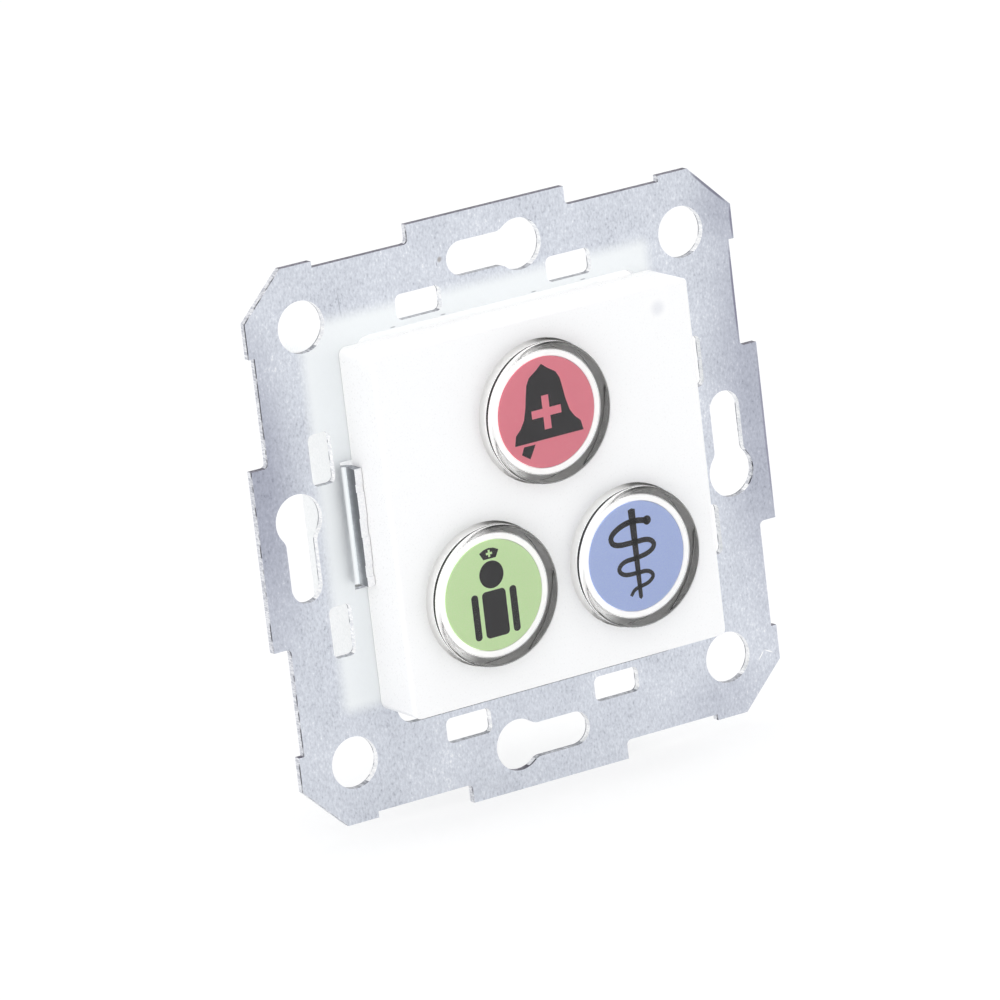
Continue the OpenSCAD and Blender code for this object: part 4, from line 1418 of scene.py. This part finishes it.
@dataclass
class CircuitBoard(SubAssembly):
    """The board with chips, small parts and capacitor on its back."""

    edge: float = 0.05
    chip_edge: float = 0.08
    lead_edge: float = 0.03
    part_edge: float = 0.06
    base_edge: float = 0.1
    can_roll: float = 0.5
    crimp: float = 0.2
    crimp_y: Spot = (0.9, 1.2, 1.5)
    rim_w: float = 0.9
    dish: float = 0.08
    # Roundings of the can: foot and waist, crimp, inside of the rim, floor
    foot_r: float = 0.15
    crimp_r: float = 0.1
    rim_r: float = 0.08
    floor_r: float = 0.05
    side_share: float = 0.5

    def finish_of(self, face: Face) -> Finish:
        """Gives the masked sides of the board one finish and its sawn edge another."""
        return Shelf.mask if abs(face.normal.y) > self.side_share else Shelf.board_edge

    def capacitor(self) -> None:
        """Turns the can with its rolled rim and crimped foot."""
        name = "capacitor_can"
        low, high = box_mm(name)
        outer = (high.x - low.x) / 2
        start, waist, end = (low.y + y for y in self.crimp_y)
        foot = [(0, low.y, 0), (outer, low.y, self.foot_r), (outer, start, self.crimp_r)]
        wall = [(outer - self.crimp, waist, self.foot_r), (outer, end, self.crimp_r)]
        inner, floor = outer - self.rim_w, high.y - self.dish
        rim = [(outer, high.y, self.can_roll), (inner, high.y, self.rim_r)]
        sunk = [(inner, floor, self.floor_r), (0, floor, 0)]
        profile = filleted([*foot, *wall, *rim, *sunk], steps=4)
        piece = turned(f"{name}_piece", profile, middle_of(name), steps=96)
        self.settle(piece, "can_aluminium", [Shelf.can], name)
        self.soften("capacitor_base", "switch_black", [Shelf.nylon], self.base_edge)

    def build(self) -> None:
        """Makes the board and everything on it."""
        sides = [Shelf.mask, Shelf.board_edge]
        self.soften("circuit_board", "board_green", sides, self.edge, finish_of=self.finish_of)
        for chip in ("controller", "line_driver"):
            self.soften(f"{chip}_chip", "chip_black", [Shelf.epoxy], self.chip_edge)
            self.soften(f"{chip}_leads", "tin_plate", [Shelf.tin], self.lead_edge)
        self.soften("small_components", "ceramic_tan", [Shelf.ceramic], self.part_edge)
        self.capacitor()


@dataclass
class RearHousing(SubAssembly):
    """The white tub behind the plate, its screws and a blank label."""

    edge: float = 0.15
    screw_edge: float = 0.1
    label_size: Point = (22.0, 9.0)
    label_r: float = 0.8
    label_t: float = 0.08
    label_drop: float = 3.0

    def build(self) -> None:
        """Makes tub, screws and label."""
        self.soften("rear_housing", "housing_white", [Shelf.housing], self.edge)
        self.soften("housing_screws", "screw_steel", [Shelf.screw], self.screw_edge)
        high = box_mm("rear_housing")[1]
        x, z = middle_of("rear_housing")[0], high.z - self.label_drop - self.label_size[1] / 2
        outline = round_rectangle(*self.label_size, self.label_r, (x, z))
        front, back = high.y - self.label_t / 4, high.y + self.label_t
        label = pressed_sheet("blank_label", [[outline]], front, back)
        self.settle(label, "housing_white", [Shelf.label])


@dataclass
class Terminal(SubAssembly):
    """Header, pins, plugged spring terminal and its cage clamps."""

    edge: float = 0.12
    pin_edge: float = 0.1
    clamp_edge: float = 0.06

    def build(self) -> None:
        """Makes the four parts of the terminal."""
        self.soften("terminal_header", "terminal_green", [Shelf.terminal], self.edge)
        self.soften("header_pins", "pin_gold", [Shelf.pin], self.pin_edge)
        self.soften("terminal_plug", "terminal_green", [Shelf.terminal], self.edge)
        self.soften("cage_clamps", "spring_steel", [Shelf.clamp], self.clamp_edge)


# Studio


@dataclass(frozen=True)
class Studio:
    """White floor, soft lamps and the camera."""

    floor_z: float = -35.52
    floor_size: float = 6000.0
    floor_glow: float = 0.72
    floor_white: float = 1.02
    fill: float = 0.9
    azimuth: float = -30.33
    elevation: float = 14.25
    roll: float = 6.75
    target: Spot = (-2.055, 0.0, -0.234)
    distance: float = 986.5
    lens: float = 298.9
    sensor: float = 36.0
    # Name, place, side and watts of each lamp
    lamps: tuple[tuple[str, Spot, float, float], ...] = (
        ("key_lamp", (-500, -900, 900), 700, 1.6),
        ("top_lamp", (150, 100, 1100), 800, 5.0),
        ("side_lamp", (-1000, -60, 250), 700, 1.7),
    )

    def seen_directly(self, coat: Coat) -> Node:
        """Adds what tells rays that see the background apart from rays that only light.

        Args:
            coat: Floor's material or world in the making.

        Returns:
            A node that gives 1 for camera, glossy and transmission rays.
        """
        rays = coat.add("LightPath").outputs
        shiny = {"operation": "ADD", 0: rays["Is Glossy Ray"], 1: rays["Is Transmission Ray"]}
        seen = {"operation": "ADD", "use_clamp": True, 1: rays["Is Camera Ray"]}
        return coat.add("Math", {**seen, 0: coat.add("Math", shiny)})

    def floor(self) -> None:
        """Lays the white floor, which keeps a soft shadow."""
        form = bmesh.new()
        bmesh.ops.create_grid(form, x_segments=1, y_segments=1, size=self.floor_size / 2 * MM)
        mesh = bpy.data.meshes.new("studio_floor")
        form.to_mesh(mesh)
        form.free()
        floor = new_piece("studio_floor", mesh)
        floor.location.z = self.floor_z * MM
        material = bpy.data.materials.new("white_paper_floor")
        coat = Coat(material)
        paper = coat.add("BsdfDiffuse", {"Color": "#F7F7F7"})
        glow = coat.add("Emission", {"Color": "#FFFFFF", "Strength": self.floor_white})
        share = {"operation": "MULTIPLY", 0: self.seen_directly(coat), 1: self.floor_glow}
        mixed = coat.add("MixShader", {0: coat.add("Math", share), 1: paper, 2: glow})
        coat.add("OutputMaterial", {"Surface": mixed})
        mesh.materials.append(material)

    def world(self) -> None:
        """Fills the room with even pale light behind the lamps."""
        world = bpy.data.worlds.new("studio_world")
        bpy.context.scene.world = world
        coat = Coat(world)
        fill = coat.add("Background", {"Color": "#F4F6FA", "Strength": self.fill})
        white = coat.add("Background", {"Color": "#FFFFFF", "Strength": 1.0})
        mixed = coat.add("MixShader", {0: self.seen_directly(coat), 1: fill, 2: white})
        coat.add("OutputWorld", {"Surface": mixed})

    def lamp(self, name: str, place: Spot, size: float, power: float) -> None:
        """Hangs one square soft lamp that faces the unit.

        Args:
            name: Lamp name.
            place: Its place, in millimetres.
            size: Its side, in millimetres.
            power: Its power in watts.
        """
        data = bpy.data.lights.new(name, "AREA")
        data.shape = "SQUARE"
        data.size = size * MM
        data.energy = power
        lamp = bpy.data.objects.new(name, data)
        lamp.location = Vector(place) * MM
        lamp.rotation_euler = (-Vector(place)).to_track_quat("-Z", "Y").to_euler()
        bpy.context.scene.collection.objects.link(lamp)

    def camera(self) -> None:
        """Sets the camera at the photo's angle and framing."""
        az, el, roll = (math.radians(a) for a in (self.azimuth, self.elevation, self.roll))
        ahead = Vector((-math.sin(az) * math.cos(el), math.cos(az) * math.cos(el), -math.sin(el)))
        level = ahead.cross(Vector((0, 0, 1))).normalized()
        down = ahead.cross(level)
        right = math.cos(roll) * level + math.sin(roll) * down
        below = -math.sin(roll) * level + math.cos(roll) * down
        data = bpy.data.cameras.new("photo_camera")
        data.lens = self.lens
        data.sensor_width = self.sensor
        data.clip_end = 50.0
        camera = bpy.data.objects.new("photo_camera", data)
        place = Matrix((right, -below, -ahead)).transposed().to_4x4()
        place.translation = (Vector(self.target) - ahead * self.distance) * MM
        camera.matrix_world = place
        bpy.context.scene.collection.objects.link(camera)
        bpy.context.scene.camera = camera

    def build(self) -> None:
        """Sets floor, world, lamps, camera and the plain view transform."""
        self.floor()
        self.world()
        for lamp in self.lamps:
            self.lamp(*lamp)
        self.camera()
        bpy.context.scene.view_settings.view_transform = "Standard"


def main() -> None:
    """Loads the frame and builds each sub-assembly in order."""
    logging.basicConfig(level=logging.INFO, format="%(name)s: %(message)s")
    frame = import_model()
    nodes = frame["nodes"]
    Studio().build()
    SupportPlate(nodes).build()
    FrontCover(nodes).build()
    for purpose in Purpose:
        Button(nodes, f"{purpose.label}_button", purpose).build()
        Switch(nodes, "base", purpose).build()
    CircuitBoard(nodes).build()
    RearHousing(nodes).build()
    Terminal(nodes).build()


if __name__ == "__main__":
    main()
